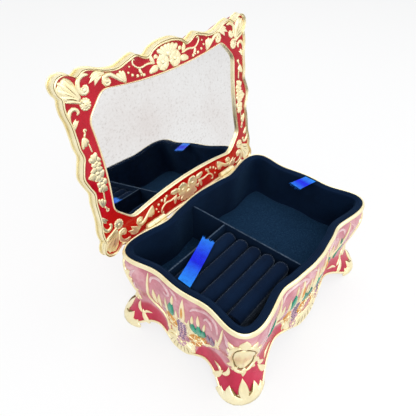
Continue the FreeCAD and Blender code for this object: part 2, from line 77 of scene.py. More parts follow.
def grid_quads(rows, columns, wrap_rows, wrap_columns):
    """Corner numbers of the quads of a rows x columns grid, joined end to end where asked."""
    r = np.arange(rows if wrap_rows else rows - 1)
    c = np.arange(columns if wrap_columns else columns - 1)
    r, c = np.meshgrid(r, c, indexing="ij")
    r1, c1 = (r + 1) % rows, (c + 1) % columns
    return np.stack([r * columns + c, r * columns + c1, r1 * columns + c1, r1 * columns + c],
                    -1).reshape(-1, 4)


def repeated(quads, count, size):
    """Quads of one grid of that many points, repeated for a row of equal grids."""
    return (quads[None] + (np.arange(count) * size)[:, None, None]).reshape(-1, 4)


def make_piece(name, points, quads, finishes, body, slot, finish_of=None, crease=0, uv=None, attribute=None,
               closed=True):
    """Mesh object at the origin from points in millimetres and quads, riding on a body with its finish."""
    mesh = bpy.data.meshes.new(name)
    points = np.ascontiguousarray(to_row(points).reshape(-1, 3), np.float32)
    quads = np.ascontiguousarray(quads, np.int32)
    mesh.vertices.add(len(points))
    mesh.vertices.foreach_set("co", points.ravel())
    mesh.loops.add(quads.size)
    mesh.loops.foreach_set("vertex_index", quads.ravel())
    mesh.polygons.add(len(quads))
    mesh.polygons.foreach_set("loop_start", np.arange(0, quads.size, 4, dtype=np.int32))
    mesh.update(calc_edges=True)
    for finish in finishes if isinstance(finishes, list) else [finishes]:
        mesh.materials.append(finish.material)
    if finish_of is not None:
        mesh.polygons.foreach_set("material_index", np.ascontiguousarray(finish_of, np.int32))
    if uv is not None:
        layer = mesh.uv_layers.new(name="cloth")
        layer.data.foreach_set("uv", np.ascontiguousarray(uv.reshape(-1, 2)[quads.ravel()],
                                                          np.float32).ravel())
    if attribute is not None:
        store = mesh.attributes.new(attribute[0], "FLOAT", "POINT")
        store.data.foreach_set("value", np.ascontiguousarray(attribute[1].ravel(), np.float32))
    mesh.validate()
    if closed:
        shell = bmesh.new()
        shell.from_mesh(mesh)
        bmesh.ops.recalc_face_normals(shell, faces=shell.faces)
        shell.to_mesh(mesh)
        shell.free()
    mesh.shade_smooth()
    if crease:
        mesh.set_sharp_from_angle(angle=np.radians(crease))
    obj = bpy.data.objects.new(name, mesh)
    bpy.context.scene.collection.objects.link(obj)
    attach(obj, body)
    print(f"{name}: {len(points)} points, {len(quads)} quads on {body}")
    return obj


def make_grid(name, points, wrap, finishes, body, slot, turn=1, **more):
    """Piece from one grid of points, with its faces turned over where turn is -1."""
    quads = grid_quads(*points.shape[:2], *wrap)[:, ::turn]
    return make_piece(name, points, quads, finishes, body, slot, **more)


# %% [markdown]
# ## A small kit for finishes
# A finish is one shader fed by a few patterns. Each pattern reads Object coordinates, so that its grain has
# a real size in metres. What stays constant is set on the shader itself.

# %% Kit for finishes


class Finish:
    """Node material with one shader and the links that its patterns need."""

    def __init__(self, name):
        self.material = bpy.data.materials.new(name)
        self.material.use_nodes = True
        self.tree = self.material.node_tree
        self.tree.nodes.clear()
        self.output, self.shader = self.node("OutputMaterial"), self.node("BsdfPrincipled")
        self.join(self.shader.outputs[0], self.output.inputs[0])
        self.where = self.node("TexCoord").outputs["Object"]

    def node(self, kind, **constants):
        """New node, with constants for its inputs."""
        node = self.tree.nodes.new("ShaderNode" + kind)
        for name, value in constants.items():
            node.inputs[name].default_value = value
        return node

    def join(self, source, socket):
        """Link from an output to an input."""
        self.tree.links.new(source, socket)

    def settle(self, constants):
        """Constants of the shader, by the names of its inputs."""
        for name, value in constants.items():
            self.shader.inputs[name].default_value = value

    def noise(self, scale, detail=3.0, rough=0.5):
        """Noise pattern of that many cycles a metre."""
        node = self.node("TexNoise", Scale=scale, Detail=detail, Roughness=rough)
        self.join(self.where, node.inputs["Vector"])
        return node.outputs["Fac"]

    def attribute(self, name):
        """Value that the mesh stores at its points."""
        node = self.node("Attribute")
        node.attribute_name = name
        return node.outputs["Fac"]

    def ramp(self, value, *stops):
        """Colours against a value, given as (position, colour) stops. A bare number is a grey."""
        node = self.node("ValToRGB")
        elements = node.color_ramp.elements
        while len(elements) < len(stops):
            elements.new(0.5)
        for element, (position, colour) in zip(elements, stops):
            element.position = position
            element.color = (*(colour if isinstance(colour, tuple) else 3 * (colour,)), 1.0)
        self.join(value, node.inputs[0])
        return node.outputs[0]

    def cloud(self, grain, *stops):
        """Colours against a noise pattern of that grain."""
        return self.ramp(self.noise(*grain), *stops)

    def blend(self, share, first, second, mode="MIX"):
        """Mix of two colours by a share between nought and one."""
        node = self.node("Mix")
        node.data_type, node.blend_type = "RGBA", mode
        for socket, value in ((node.inputs[0], share), (node.inputs[6], first), (node.inputs[7], second)):
            if isinstance(value, tuple):
                socket.default_value = (*value, 1.0)
            elif isinstance(value, float):
                socket.default_value = value
            else:
                self.join(value, socket)
        return node.outputs[2]

    def paint(self, colour, socket="Base Color"):
        """Colour or value that drives an input of the shader."""
        self.join(colour, self.shader.inputs[socket])

    def gloss(self, scale, *stops):
        """Roughness that drifts with a noise pattern."""
        self.paint(self.cloud((scale,), *stops), "Roughness")

    def bump(self, height, depth, strength):
        """Small height pattern in metres on the shader's normal."""
        node = self.node("Bump", Strength=strength, Distance=depth)
        self.join(height, node.inputs["Height"])
        self.join(node.outputs[0], self.shader.inputs["Normal"])


def show_white(tree, most, lit, shown, output):
    """Output that lights things as one shader and shows the other, by up to the given share, to rays from
    the camera, a gloss or a glass."""
    def math(operation, first, second):
        """Math node on a value and a second value or a number."""
        node = tree.nodes.new("ShaderNodeMath")
        node.operation = operation
        tree.links.new(first, node.inputs[0])
        if isinstance(second, float):
            node.inputs[1].default_value = second
        else:
            tree.links.new(second, node.inputs[1])
        return node.outputs[0]

    rays = tree.nodes.new("ShaderNodeLightPath").outputs
    seen = math("MAXIMUM", rays["Is Camera Ray"], rays["Is Glossy Ray"])
    seen = math("MAXIMUM", seen, rays["Is Transmission Ray"])
    mixer = tree.nodes.new("ShaderNodeMixShader")
    sources = (math("MULTIPLY", seen, most), lit.outputs[0], shown.outputs[0])
    for socket, source in zip(mixer.inputs, sources):
        tree.links.new(source, socket)
    tree.links.new(mixer.outputs[0], output.inputs[0])


# %% [markdown]
# ## Camera, floor and light
# The camera was solved from the rim, the lid corners and the feet in the photograph: it looks down from the
# front left at about 40 degrees through a slightly wide lens. The floor is white and keeps a soft shadow.
# Large soft lamps suit enamel and gilding, because their reflections are what shows the relief.

# %% Camera
IMAGE_SIDE, FOCAL, SENSOR = 416, 403.97, 36.0
CAMERA_AT = np.array([-211.6, -124.2, RIM_Z + 216.9])
RIGHT, UP, AHEAD = np.array([(0.6359, -0.7716, 0.0133), (0.4900, 0.4170, 0.7655), (0.5963, 0.4803, -0.6433)])
scene = bpy.context.scene
scene.view_settings.view_transform = "Standard"


def pose(side, up, back, place):
    """Matrix of an object whose own axes point aside, up and back from where it looks."""
    matrix = np.eye(4)
    matrix[:3] = np.stack([side, up, back, place], -1)
    return Matrix(matrix.tolist())


camera = bpy.data.objects.new("camera", bpy.data.cameras.new("camera"))
scene.collection.objects.link(camera)
camera.matrix_world = pose(RIGHT, UP, -AHEAD, to_row(CAMERA_AT))
camera.data.sensor_width, camera.data.lens = SENSOR, SENSOR * FOCAL / IMAGE_SIDE
camera.data.shift_y, camera.data.clip_start = 0.0034, 0.01
scene.camera = camera
print(f"camera with a lens of {camera.data.lens:.1f} mm")

# %% Floor and light
TABLE_HALF, TABLE_Z, TABLE_WHITE, STUDIO_WHITE = 8.0, -0.0001, 0.75, 0.8
table_finish = Finish("white_table")
table_finish.settle({"Base Color": (0.90, 0.90, 0.90, 1), "Roughness": 0.9})
show_white(table_finish.tree, TABLE_WHITE, table_finish.shader, table_finish.node("Emission"),
           table_finish.output)
table_mesh = bpy.data.meshes.new("table")
table_corners = [(x * TABLE_HALF, y * TABLE_HALF, TABLE_Z) for x, y in ((-1, -1), (1, -1), (1, 1), (-1, 1))]
table_mesh.from_pydata(table_corners, [], [(0, 1, 2, 3)])
table_mesh.materials.append(table_finish.material)
table = bpy.data.objects.new("table", table_mesh)
scene.collection.objects.link(table)

scene.world = bpy.data.worlds.new("studio")
scene.world.use_nodes = True
studio = scene.world.node_tree
daylight, white = studio.nodes["Background"], studio.nodes.new("ShaderNodeBackground")
daylight.inputs["Color"].default_value = (0.95, 0.97, 1.0, 1)
daylight.inputs["Strength"].default_value = 0.6
white.inputs["Color"].default_value = (0.97, 0.97, 0.97, 1)
show_white(studio, STUDIO_WHITE, daylight, white, studio.nodes["World Output"])


def softbox(name, place, size, power, target=(0, -0.02, 0.08)):
    """Square area lamp looking at a target point, all in metres of the row frame."""
    lamp = bpy.data.lights.new(name, "AREA")
    lamp.energy, lamp.size = power, size
    obj = bpy.data.objects.new(name, lamp)
    scene.collection.objects.link(obj)
    back = np.array(place, float) - np.array(target, float)
    back /= np.linalg.norm(back)
    side = np.cross((0, 0, 1.0), back)
    side /= np.linalg.norm(side)
    obj.matrix_world = pose(side, np.cross(back, side), back, place)


softbox("window", (-0.75, -0.75, 1.05), 0.9, 9.0)
softbox("overhead", (0.35, 0.15, 1.25), 0.9, 5.0)
softbox("front_card", (0.5, -1.1, 0.45), 0.7, 2.5)
print("table and studio ready")

# %% [markdown]
# ## Finishes
# Gilding is a metal with a pale yellow colour and tiny cast pits. Enamel is a glossy coloured glass, uneven
# in depth, so its colour drifts a little. Velvet is nearly black, with a soft sheen where its pile catches
# light.

# %% Gilding, bright, and dark in the grooves with patina and painted shade
gold = Finish("pale_gold_plate")
gold.paint(gold.cloud((90.0, 4.0), (0.3, (0.88, 0.76, 0.44)), (0.7, (0.98, 0.90, 0.62))))
gold.gloss(420.0, (0.3, 0.28), (0.75, 0.44))
gold.settle({"Metallic": 0.8})
gold.bump(gold.noise(900.0, 2.0), 0.00008, 0.5)

# Dark gold for the grooves and fine outlines: partly patina, partly painted shade where the grooves lie in
# shadow.
groove_patina_and_shade = Finish("dark_groove_gold")
groove_patina_and_shade.paint(groove_patina_and_shade.cloud((260.0, 4.0), (0.3, (0.16, 0.10, 0.035)), (0.7, (0.36, 0.25, 0.10))))
groove_patina_and_shade.gloss(500.0, (0.3, 0.4), (0.75, 0.6))
groove_patina_and_shade.settle({"Metallic": 0.6})
print("gilding ready")

# %% Enamels


def enamel(name, deep, bright, scale, warm=None):
    """Glossy enamel: colour drifts between a deep and a bright tone, with fine firing ripples under the
    gloss. Where a warm tone is given, the colour turns to it near the hinge."""
    finish = Finish(name)
    colour = finish.cloud((scale, 5.0, 0.6), (0.32, deep), (0.68, bright))
    finish.paint(finish.blend(finish.attribute("near_hinge"), colour, warm) if warm else colour)
    finish.gloss(160.0, (0.3, 0.1), (0.8, 0.24))
    finish.settle({"Specular IOR Level": 0.2, "Coat Weight": 0.12, "Coat Roughness": 0.06})
    finish.bump(finish.noise(240.0, 2.0), 0.0003, 0.35)
    return finish


crimson = enamel("crimson_enamel", (0.36, 0.002, 0.010), (0.56, 0.008, 0.026), 60.0, (0.50, 0.008, 0.004))
green = enamel("green_enamel", (0.008, 0.15, 0.09), (0.03, 0.40, 0.24), 120.0)
amber = enamel("amber_enamel", (0.55, 0.20, 0.04), (0.85, 0.48, 0.13), 120.0)
mauve = enamel("mauve_enamel", (0.16, 0.10, 0.17), (0.38, 0.26, 0.38), 140.0)
rosy = enamel("pink_enamel", (0.45, 0.20, 0.26), (0.68, 0.42, 0.48), 140.0)
# Pale rose: paler than the rose ground, as a painted highlight on the raised rose scrolls under the rim; it
# is also the pale ground between the berries.
pale_rose = enamel("pale_rose_enamel", (0.62, 0.28, 0.32), (0.88, 0.70, 0.70), 90.0)

rose = Finish("rose_enamel")
pale = rose.cloud((55.0, 6.0, 0.65), (0.30, (0.44, 0.115, 0.155)), (0.52, (0.60, 0.22, 0.265)),
                  (0.74, (0.78, 0.48, 0.50)))
strong = rose.cloud((70.0, 4.0), (0.3, (0.42, 0.006, 0.035)), (0.7, (0.62, 0.03, 0.09)))
rose.paint(rose.blend(rose.attribute("crimson_band"), pale, strong))
rose.gloss(150.0, (0.3, 0.14), (0.8, 0.3))
rose.settle({"Specular IOR Level": 0.25, "Coat Weight": 0.15, "Coat Roughness": 0.08})
rose.bump(rose.noise(180.0, 3.0), 0.0005, 0.4)
print("enamels ready")

# %% Velvets


def pile(name, grain, *stops, sheen=0.22, spread=0.45, tint=(0.06, 0.18, 0.36, 1)):
    """Velvet: a dark pile whose colour follows its grain, with a sheen at a glancing view."""
    finish = Finish(name)
    finish.paint(finish.cloud(grain, *stops))
    finish.settle({"Roughness": 0.95, "Specular IOR Level": 0.12, "Sheen Weight": sheen,
                   "Sheen Roughness": spread, "Sheen Tint": tint})
    finish.bump(finish.noise(2600.0, 2.0), 0.00035, 0.8)
    return finish


NAP = ((45.0, 4.0, 0.6), (0.3, (0.0006, 0.0060, 0.0220)), (0.7, (0.0016, 0.0110, 0.0360)))
velvet = pile("blue_black_velvet", *NAP)
roll_velvet = pile("stretched_velvet", *NAP, sheen=0.5, spread=0.22, tint=(0.30, 0.38, 0.48, 1))
# The floor pads are painted lighter than the other velvet, as painted light falling on them; the fine grain
# is the pile.
lit_floor_velvet = pile("painted_lighter_pad_velvet", (1100.0, 3.0, 0.7), (0.32, (0.0012, 0.012, 0.034)),
                    (0.56, (0.0060, 0.028, 0.068)), (0.78, (0.022, 0.060, 0.115)))
# Pale velvet for the top edges of the partitions: worn pile, with a painted highlight where the edge catches
# the light.
worn_and_sheen_velvet = pile("worn_and_sheen_velvet", (700.0, 3.0, 0.7), (0.36, (0.006, 0.020, 0.045)),
                   (0.62, (0.070, 0.100, 0.140)))
print("velvets ready")

# %% Ribbon
ribbon_blue = Finish("blue_satin_ribbon")
cloth, split = ribbon_blue.node("UVMap"), ribbon_blue.node("SeparateXYZ")
cloth.uv_map = "cloth"
threads = ribbon_blue.node("TexWave", Scale=340.0, Distortion=0.6)
threads.wave_type, threads.bands_direction = "BANDS", "Y"
ribbon_blue.join(cloth.outputs[0], threads.inputs["Vector"])
ribbon_blue.join(cloth.outputs[0], split.inputs[0])
# Along the ribbon the blue is deep in the middle and paler azure towards both ends: the deep blue is the
# dye, the paler ends are a painted reflection on the satin.
dye_and_sheen_along = ribbon_blue.ramp(split.outputs[1], (0.0, (0.016, 0.27, 0.90)), (0.30, (0.012, 0.14, 0.86)),
                              (0.48, (0.004, 0.012, 0.78)), (0.66, (0.006, 0.030, 0.80)),
                              (0.86, (0.012, 0.13, 0.85)), (1.0, (0.016, 0.22, 0.88)))
stains = ribbon_blue.cloud((260.0, 4.0, 0.65), (0.32, (0.50, 0.52, 0.70)), (0.55, 1.0))
weave = ribbon_blue.ramp(threads.outputs["Fac"], (0.2, (0.72, 0.72, 0.78)), (0.8, 1.0))
stained = ribbon_blue.blend(0.6, dye_and_sheen_along, stains, "MULTIPLY")
ribbon_blue.paint(ribbon_blue.blend(0.6, stained, weave, "MULTIPLY"))
ribbon_blue.settle({"Roughness": 0.55, "Specular IOR Level": 0.15, "Sheen Weight": 0.08,
                    "Sheen Tint": (0.2, 0.4, 1.0, 1)})
ribbon_blue.bump(threads.outputs["Fac"], 0.00006, 0.7)
print("ribbon ready")

# %% Mirror, sheet steel and card
silvered = Finish("silvered_glass")
speckle = silvered.cloud((520.0, 3.0), (0.30, (0.70, 0.68, 0.665)), (0.42, (0.80, 0.79, 0.78)),
                         (0.7, (0.84, 0.835, 0.83)))
bloom = silvered.cloud((14.0, 3.0), (0.45, 1.0), (0.75, (0.90, 0.85, 0.83)))
silvered.paint(silvered.blend(1.0, speckle, bloom, "MULTIPLY"))
silvered.gloss(25.0, (0.3, 0.015), (0.8, 0.05))
silvered.settle({"Metallic": 1.0})

steel = Finish("plain_steel")
steel.paint(steel.cloud((60.0, 5.0), (0.3, (0.34, 0.33, 0.32)), (0.7, (0.55, 0.54, 0.52))))
steel.gloss(500.0, (0.3, 0.3), (0.7, 0.5))
steel.settle({"Metallic": 1.0})

card = Finish("grey_card")
card.paint(card.cloud((900.0, 4.0), (0.3, (0.36, 0.29, 0.21)), (0.7, (0.50, 0.42, 0.32))))
card.settle({"Roughness": 0.9})
card.bump(card.noise(1500.0), 0.0001, 0.6)

BARE_NODES = {"mirror_glass": silvered, "mirror_backing": card, "base_plate": steel, "store_lining": velvet,
              "tray_divider": velvet, "ring_partition": velvet}
for name in nodes:
    finish = gold if name.startswith("hinge") else BARE_NODES.get(name)
    if finish:
        nodes[name].data.materials.clear()
        nodes[name].data.materials.append(finish.material)
print("finishes ready:", len(bpy.data.materials))

# %% [markdown]
# ## The serpentine outline
# Seen from above, the box swings in and out: each side bulges in the middle, dips, and swells into a corner
# lobe. A radius that is a short sum of cosines of the angle gives that line in one formula, and a second
# formula gives its outward normal. Rim, wall and tray are all this line, moved along its normal.

# %% Outline
INNER_LENGTH, INNER_DEPTH, CORNER_SHARE, TURN_STEPS = 174.6, 118.0, 0.225, 7200
RIM_WAVE = ((2, 0.2482), (4, -0.0681), (6, -0.103), (8, -0.0113), (10, 0.0419), (12, 0.0242), (14, -0.0054),
            (16, -0.0072))
SPAN_X = INNER_LENGTH / 2 / (1 + sum(a for n, a in RIM_WAVE))
SPAN_Y = INNER_DEPTH / 2 / (1 + sum(a * np.cos(n * np.pi / 2) for n, a in RIM_WAVE))


def serpentine(angle, side, corner):
    """Outline in millimetres: radius 1 + sum a cos(n angle), then out along the normal by side or
    corner."""
    r = 1 + sum(a * np.cos(n * angle) for n, a in RIM_WAVE)
    slope = -sum(n * a * np.sin(n * angle) for n, a in RIM_WAVE)
    x, y = SPAN_X * r * np.cos(angle), SPAN_Y * r * np.sin(angle)
    dx = SPAN_X * (slope * np.cos(angle) - r * np.sin(angle))
    dy = SPAN_Y * (slope * np.sin(angle) + r * np.cos(angle))
    near = np.minimum(1.0, np.abs(x * y) / (CORNER_SHARE * INNER_LENGTH * INNER_DEPTH)) ** 3
    out = (side + (corner - side) * near) / np.hypot(dx, dy)
    return x + dy * out, y - dx * out


def swept(angle, profile):
    """Profile of (side, corner, height) rows carried round the serpentine line."""
    side, corner, height = np.array(profile, float).T[:, :, None]
    x, y = serpentine(angle[None, :], side, corner)
    return np.stack([x, y, np.broadcast_to(height, x.shape)], -1)


def smooth_through(x, knots, values):
    """Hermite cubic through the knots, with each slope taken from the neighbouring knots."""
    knots, values = np.asarray(knots, float), np.asarray(values, float)
    slope = np.gradient(values, knots)
    i = np.clip(np.searchsorted(knots, x) - 1, 0, len(knots) - 2)
    h = knots[i + 1] - knots[i]
    t = np.clip((x - knots[i]) / h, 0.0, 1.0)
    return ((2 * t**3 - 3 * t**2 + 1) * values[i] + (t**3 - 2 * t**2 + t) * h * slope[i]
            + (3 * t**2 - 2 * t**3) * values[i + 1] + (t**3 - t**2) * h * slope[i + 1])


def travel(line):
    """Distance along a line of flat points, from its start."""
    return np.r_[0, np.cumsum(np.hypot(*np.diff(line, axis=0).T))]


def even_ring(line, steps):
    """Closed line of flat points, taken again at even distances."""
    closed = np.r_[line, line[:1]]
    distance = travel(closed)
    even = np.linspace(0, distance[-1], steps, endpoint=False)
    return np.stack([np.interp(even, distance, closed[:, k]) for k in (0, 1)], -1)


full_turn = np.linspace(0, 2 * np.pi, TURN_STEPS + 1)
rim_line = np.stack(serpentine(full_turn, 0.0, 0.0), -1)
travelled = travel(rim_line)
GIRTH = travelled[-1]
CORNER = travelled[np.argmax((rim_line[:, 0] * rim_line[:, 1])[:TURN_STEPS // 4])]


def angle_at(distance):
    """Angle round the box after that many millimetres along the rim, from the middle of the right side."""
    return np.interp(np.mod(distance, GIRTH), travelled, full_turn)


def along_side(distance):
    """Place along a side of the box: nought at its middle and one at its corner, on short and long
    sides."""
    from_short = np.abs((distance + GIRTH / 4) % (GIRTH / 2) - GIRTH / 4)
    return np.where(from_short < CORNER, from_short / CORNER,
                    (GIRTH / 4 - from_short) / (GIRTH / 4 - CORNER))


print(f"girth {GIRTH:.1f} mm, corner at {CORNER:.1f} mm")

# %% Wall and apron
LOBE_Z, BASE_Z = 6.2, 20.2
WALL_Z = [0.0, 2.37, 6.48, 14.22, 26.23, 36.18, 48.19, 62.17, WALL_TOP]
WALL_SIDE = [0.5, 1.8, 2.0, 1.2, -0.2, -0.2, 1.8, 2.4, 1.3]
WALL_CORNER = [5.5, 8.6, 6.4, 1.4, -3.8, -4.6, -0.8, 2.2, 1.3]
APRON_PLACE = [0.0, 0.14, 0.29, 0.46, 0.59, 0.69, 0.79, 0.89, 1.0, 1.04]
LOBE_RISE, ARCH_FALL = np.array([0.0, 0.12, 0.62]), np.array([1.0, 0.93, 0.77, 0.54, 0.29, 0.0, -0.11])
FOOT_X, FOOT_Y, LONG_ARCH, SHORT_ARCH = 76.0, 51.0, 17.2, 13.7


def wall_row(angle, z, knots, side, corner):
    """Serpentine row at a height, whose distances from the rim line follow a height table."""
    x, y = serpentine(angle, smooth_through(z, knots, side), smooth_through(z, knots, corner))
    return np.stack([x, y, np.broadcast_to(z, x.shape)], -1)


def wall(angle, z):
    """Point of the outer wall at an angle and height."""
    return wall_row(angle, z, WALL_Z, WALL_SIDE, WALL_CORNER)


def apron_edge(angle):
    """Height of the wall's lower edge: arch beside each foot, drop in the middle, floor under the feet. The
    edge decides where the bulging wall ends, so a few rounds settle both."""
    edge = np.full(angle.shape, 10.0)
    for _ in range(4):
        point, heights = wall(angle, edge), []
        for axis, foot, arch in ((0, FOOT_X, LONG_ARCH), (1, FOOT_Y, SHORT_ARCH)):
            curve = np.r_[LOBE_Z + LOBE_RISE * (arch - LOBE_Z), ARCH_FALL * arch]
            place = np.minimum(np.abs(point[..., axis]) / foot, APRON_PLACE[-1])
            heights.append(smooth_through(place, APRON_PLACE, curve))
        edge = np.maximum(np.maximum(*heights), 0.0)
    return edge


COLUMNS, OUTER_ROWS, HOLLOW_ROWS, INNER_ROWS = 960, 72, 14, 10
around = np.linspace(0, GIRTH, COLUMNS, endpoint=False)
angle = angle_at(around)
edge = apron_edge(angle)
print(f"apron edge up to {edge.max():.1f} mm above the table")

# %% [markdown]
# ## The body casting
# The wall is one closed skin: over the top edge, down the bulging outside to the scalloped apron, round its
# edge, up the hollow inside the feet to the ledge that carries the base, and up the inside again. Each row
# of the grid is the serpentine line at its own heights, so rows follow the apron's waves without any
# cutting.

# %% Body casting
HOLLOW = ([0.0, 2.37, 6.48, 14.22, BASE_Z], [-2.3, -1.0, -0.8, -1.6, -6.5], [2.7, 5.8, 3.6, -1.4, -10.9])
INSIDE = ([BASE_Z, 36.18, 48.19, 62.17, WALL_TOP], [-3.0, -3.0, -1.0, -0.4, -1.5],
          [-7.4, -7.4, -3.6, -0.6, -1.5])
BAND_PLACE = [0, 0.17, 0.23, 0.28, 0.38, 0.52, 0.62, 0.76, 0.88, 1.0]
BAND_TOP = [1.0, 4.0, 12.0, 21.0, 27.0, 30.5, 31.0, 27.0, 27.0, 27.0]
TOP_EDGE, BAND_SOFTNESS = (-1.5, -1.5, WALL_TOP), 0.5

rows = [swept(angle, [TOP_EDGE])[0]]
for share in np.linspace(0, 1, OUTER_ROWS):
    rows.append(wall(angle, WALL_TOP + (edge - WALL_TOP) * share))
for share in np.linspace(0, 1, HOLLOW_ROWS):
    rows.append(wall_row(angle, edge + (BASE_Z - edge) * share, *HOLLOW))
for share in np.linspace(0, 1, INNER_ROWS)[:-1]:
    rows.append(wall_row(angle, BASE_Z + (WALL_TOP - BASE_Z) * share, *INSIDE))
casting = np.stack(rows)
band_top = smooth_through(along_side(around), BAND_PLACE, BAND_TOP)
band = 1 / (1 + np.exp(np.clip((casting[..., 2] - band_top) / BAND_SOFTNESS, -30, 30)))
body_casting = make_grid("body_casting", casting, TUBE, rose, "case", "rose_enamel", turn=-1, crease=35,
                         attribute=("crimson_band", band))
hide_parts("body_shell")

# %% Gilt rim
RIM_PROFILE = ((0.02, 75.8), (0.02, 78.1), (0.15, 78.6), (0.5, 78.85), (0.95, 78.8), (1.45, 78.4),
               (1.9, 77.8), (2.25, 77.0), (2.45, 76.2), (2.2, 75.74), (1.4, 75.72), (0.4, 75.72))
rim_points = swept(angle, [(out, out, height) for out, height in RIM_PROFILE])
rim_band = make_grid("rim_band", rim_points, TUBE, gold, "case", "gold_plate", crease=50)
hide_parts("rim_ring")

# %% [markdown]
# ## The velvet tray
# The tray is a thin formed liner: a soft flange lies inside the rim, rolls over into a steep wall and ends
# in a flat floor. Sweeping one profile round the serpentine line makes it, and the floor closes towards the
# middle.

# %% Velvet tray
TRAY_UNDER = 38.2
TRAY_OUTSIDE = [(-4.2, -8.2, TRAY_UNDER), (-4.0, -6.5, 42.2), (-4.0, -4.8, 56.2)]
TRAY_LIP = ((-4.0, 74.2), (-3.8, 75.6), (-0.6, 75.75), (-0.33, 76.2), (-0.33, 78.4), (-0.45, 78.95),
            (-0.8, 79.3), (-1.4, 79.5), (-2.4, 79.5), (-3.3, 79.3), (-3.9, 78.8), (-4.15, 78.5),
            (-4.6, 78.55), (-5.1, 78.3), (-5.5, 77.6), (-5.6, 76.6), (-5.6, 70.0))
TRAY_INSIDE = [(-5.6, -6.2, 56.2), (-5.6, -8.3, 44.2), (-5.8, -9.6, 41.2), (-6.6, -10.6, 40.1)]
tray_lip = [(out, out, height) for out, height in TRAY_LIP]
tray_points = swept(angle[::2], TRAY_OUTSIDE + tray_lip + TRAY_INSIDE)
shrink = np.array([0.75, 0.5, 0.25, 0.001])[:, None, None]
floor_rows, under_rows = tray_points[-1:] * shrink, tray_points[:1] * shrink[::-1]
floor_rows[..., 2], under_rows[..., 2] = TRAY_FLOOR + 0.1, TRAY_UNDER
tray_points = np.concatenate([under_rows, tray_points, floor_rows])
velvet_tray = make_grid("velvet_tray", tray_points, SKIN, velvet, "tray", "black_velvet", crease=60)
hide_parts("tray_shell")

# %% Ring rolls
ROLL_LEFT, ROLL_RIGHT, ROLL_HALF, ROLL_FOOT, ROLL_TOP = -79.2, -14.0, 5.85, TRAY_FLOOR + 0.15, 74.65
FIRST_ROLL, ROLL_PITCH, ROLL_COUNT, BLUNT, RIPPLE = -40.0, 12.2, 5, 1.2, 0.10


def roll_surface(middle, phase):
    """Padded roll: outlines, blunt at the wall and round at the divider, stacked upright and then drawn in
    along a quarter circle for the crown."""
    shoulder, low, crown = ROLL_TOP - ROLL_HALF, np.linspace(0, 1, 14)[1:], np.linspace(0.1, np.pi / 2, 14)
    heights = np.r_[ROLL_FOOT, ROLL_FOOT, ROLL_FOOT + 0.6, ROLL_FOOT + (shoulder - ROLL_FOOT) * low,
                    shoulder + ROLL_HALF * np.sin(crown)]
    inset = np.r_[ROLL_HALF * 0.98, 1.2, 0.4, 0.25 * (1 - np.sin(np.pi * low)),
                  ROLL_HALF * (1 - np.cos(crown))]
    t = np.linspace(0, 2 * np.pi, 120, endpoint=False)
    at_wall, reach = np.cos(t) < 0, (ROLL_RIGHT - ROLL_LEFT) / 2 - ROLL_HALF
    radius = np.maximum(ROLL_HALF - inset, 0.02)[:, None]
    ripple = RIPPLE * np.sin(9 * t + phase)[None, :] * np.sin(np.linspace(0, np.pi, len(heights)))[:, None]
    end = np.where(at_wall, np.minimum(BLUNT, radius), radius + ripple)
    reach = np.where(at_wall, reach + ROLL_HALF - BLUNT, reach) * np.tanh(9 * np.cos(t))
    x = (ROLL_LEFT + ROLL_RIGHT) / 2 + end * np.cos(t) + reach
    y = middle + (radius + ripple) * np.sin(t)
    return np.stack([x, y, np.broadcast_to(heights[:, None], x.shape)], -1)


for index in range(ROLL_COUNT):
    points = roll_surface(FIRST_ROLL + ROLL_PITCH * index, 1.7 * index)
    roll = make_grid(f"ring_pad_{index + 1}", points, SKIN, roll_velvet, "tray", "black_velvet")
    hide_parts(f"ring_roll_{index + 1}")

# %% Floor pads
PAD_SCALE = np.array([0.02, 0.5, 0.97, 0.992, 1.0, 0.995, 0.985, 0.965, 0.93, 0.85, 0.7, 0.5, 0.25, 0.01])
PAD_HEIGHT = np.array([0.1, 0.1, 0.1, 0.3, 0.9, 1.5, 1.95, 2.2, 2.32, 2.4, 2.45, 2.48, 2.5, 2.5])
PAD_SIDE, PAD_CORNER, NO_LIMIT = -6.8, -10.9, 200


def floor_pad(x_low, x_high, y_low, phase):
    """Crowned pad in a compartment: its outline, drawn in towards the middle, rises from edge to crown."""
    x, y = serpentine(np.linspace(0, 2 * np.pi, 3000, endpoint=False), PAD_SIDE, PAD_CORNER)
    ring = even_ring(np.stack([np.clip(x, x_low, x_high), np.maximum(y, y_low)], -1), 240)
    centre = (ring.max(0) + ring.min(0)) / 2
    flat = centre + (ring - centre)[None] * PAD_SCALE[:, None, None]
    height = PAD_HEIGHT[:, None]
    wave = 0.06 * np.sin(flat[..., 0] / 9 + phase) * np.sin(flat[..., 1] / 7) * (height > 2)
    return np.concatenate([flat, (TRAY_FLOOR - 0.1 + height + wave)[..., None]], -1)


for place, limits in (("right", (-10.9, NO_LIMIT, -NO_LIMIT, 0.3)), ("back", (-NO_LIMIT, -14.1, 19.4, 1.1))):
    pad = make_grid(f"padded_floor_{place}", floor_pad(*limits), SKIN, lit_floor_velvet, "tray", "black_velvet")
    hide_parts(f"floor_pad_{place}")

# %% Pale edges of the partitions: worn pile with a painted highlight


def rounded_block(middle, half, power=0.28):
    """Block with soft edges: sphere coordinates raised to a small power and stretched to the half sizes."""
    down = np.linspace(0.001, np.pi - 0.001, 25)[:, None]
    turn = np.linspace(0, 2 * np.pi, 48, endpoint=False)[None, :]
    waves = (np.sin(down), np.cos(down), np.sin(turn), np.cos(turn))
    ring, rise, sine, cosine = [np.sign(wave) * np.abs(wave) ** power for wave in waves]
    unit = np.stack(np.broadcast_arrays(ring * cosine, ring * sine, rise), -1)
    return np.array(middle) + unit * np.array(half)


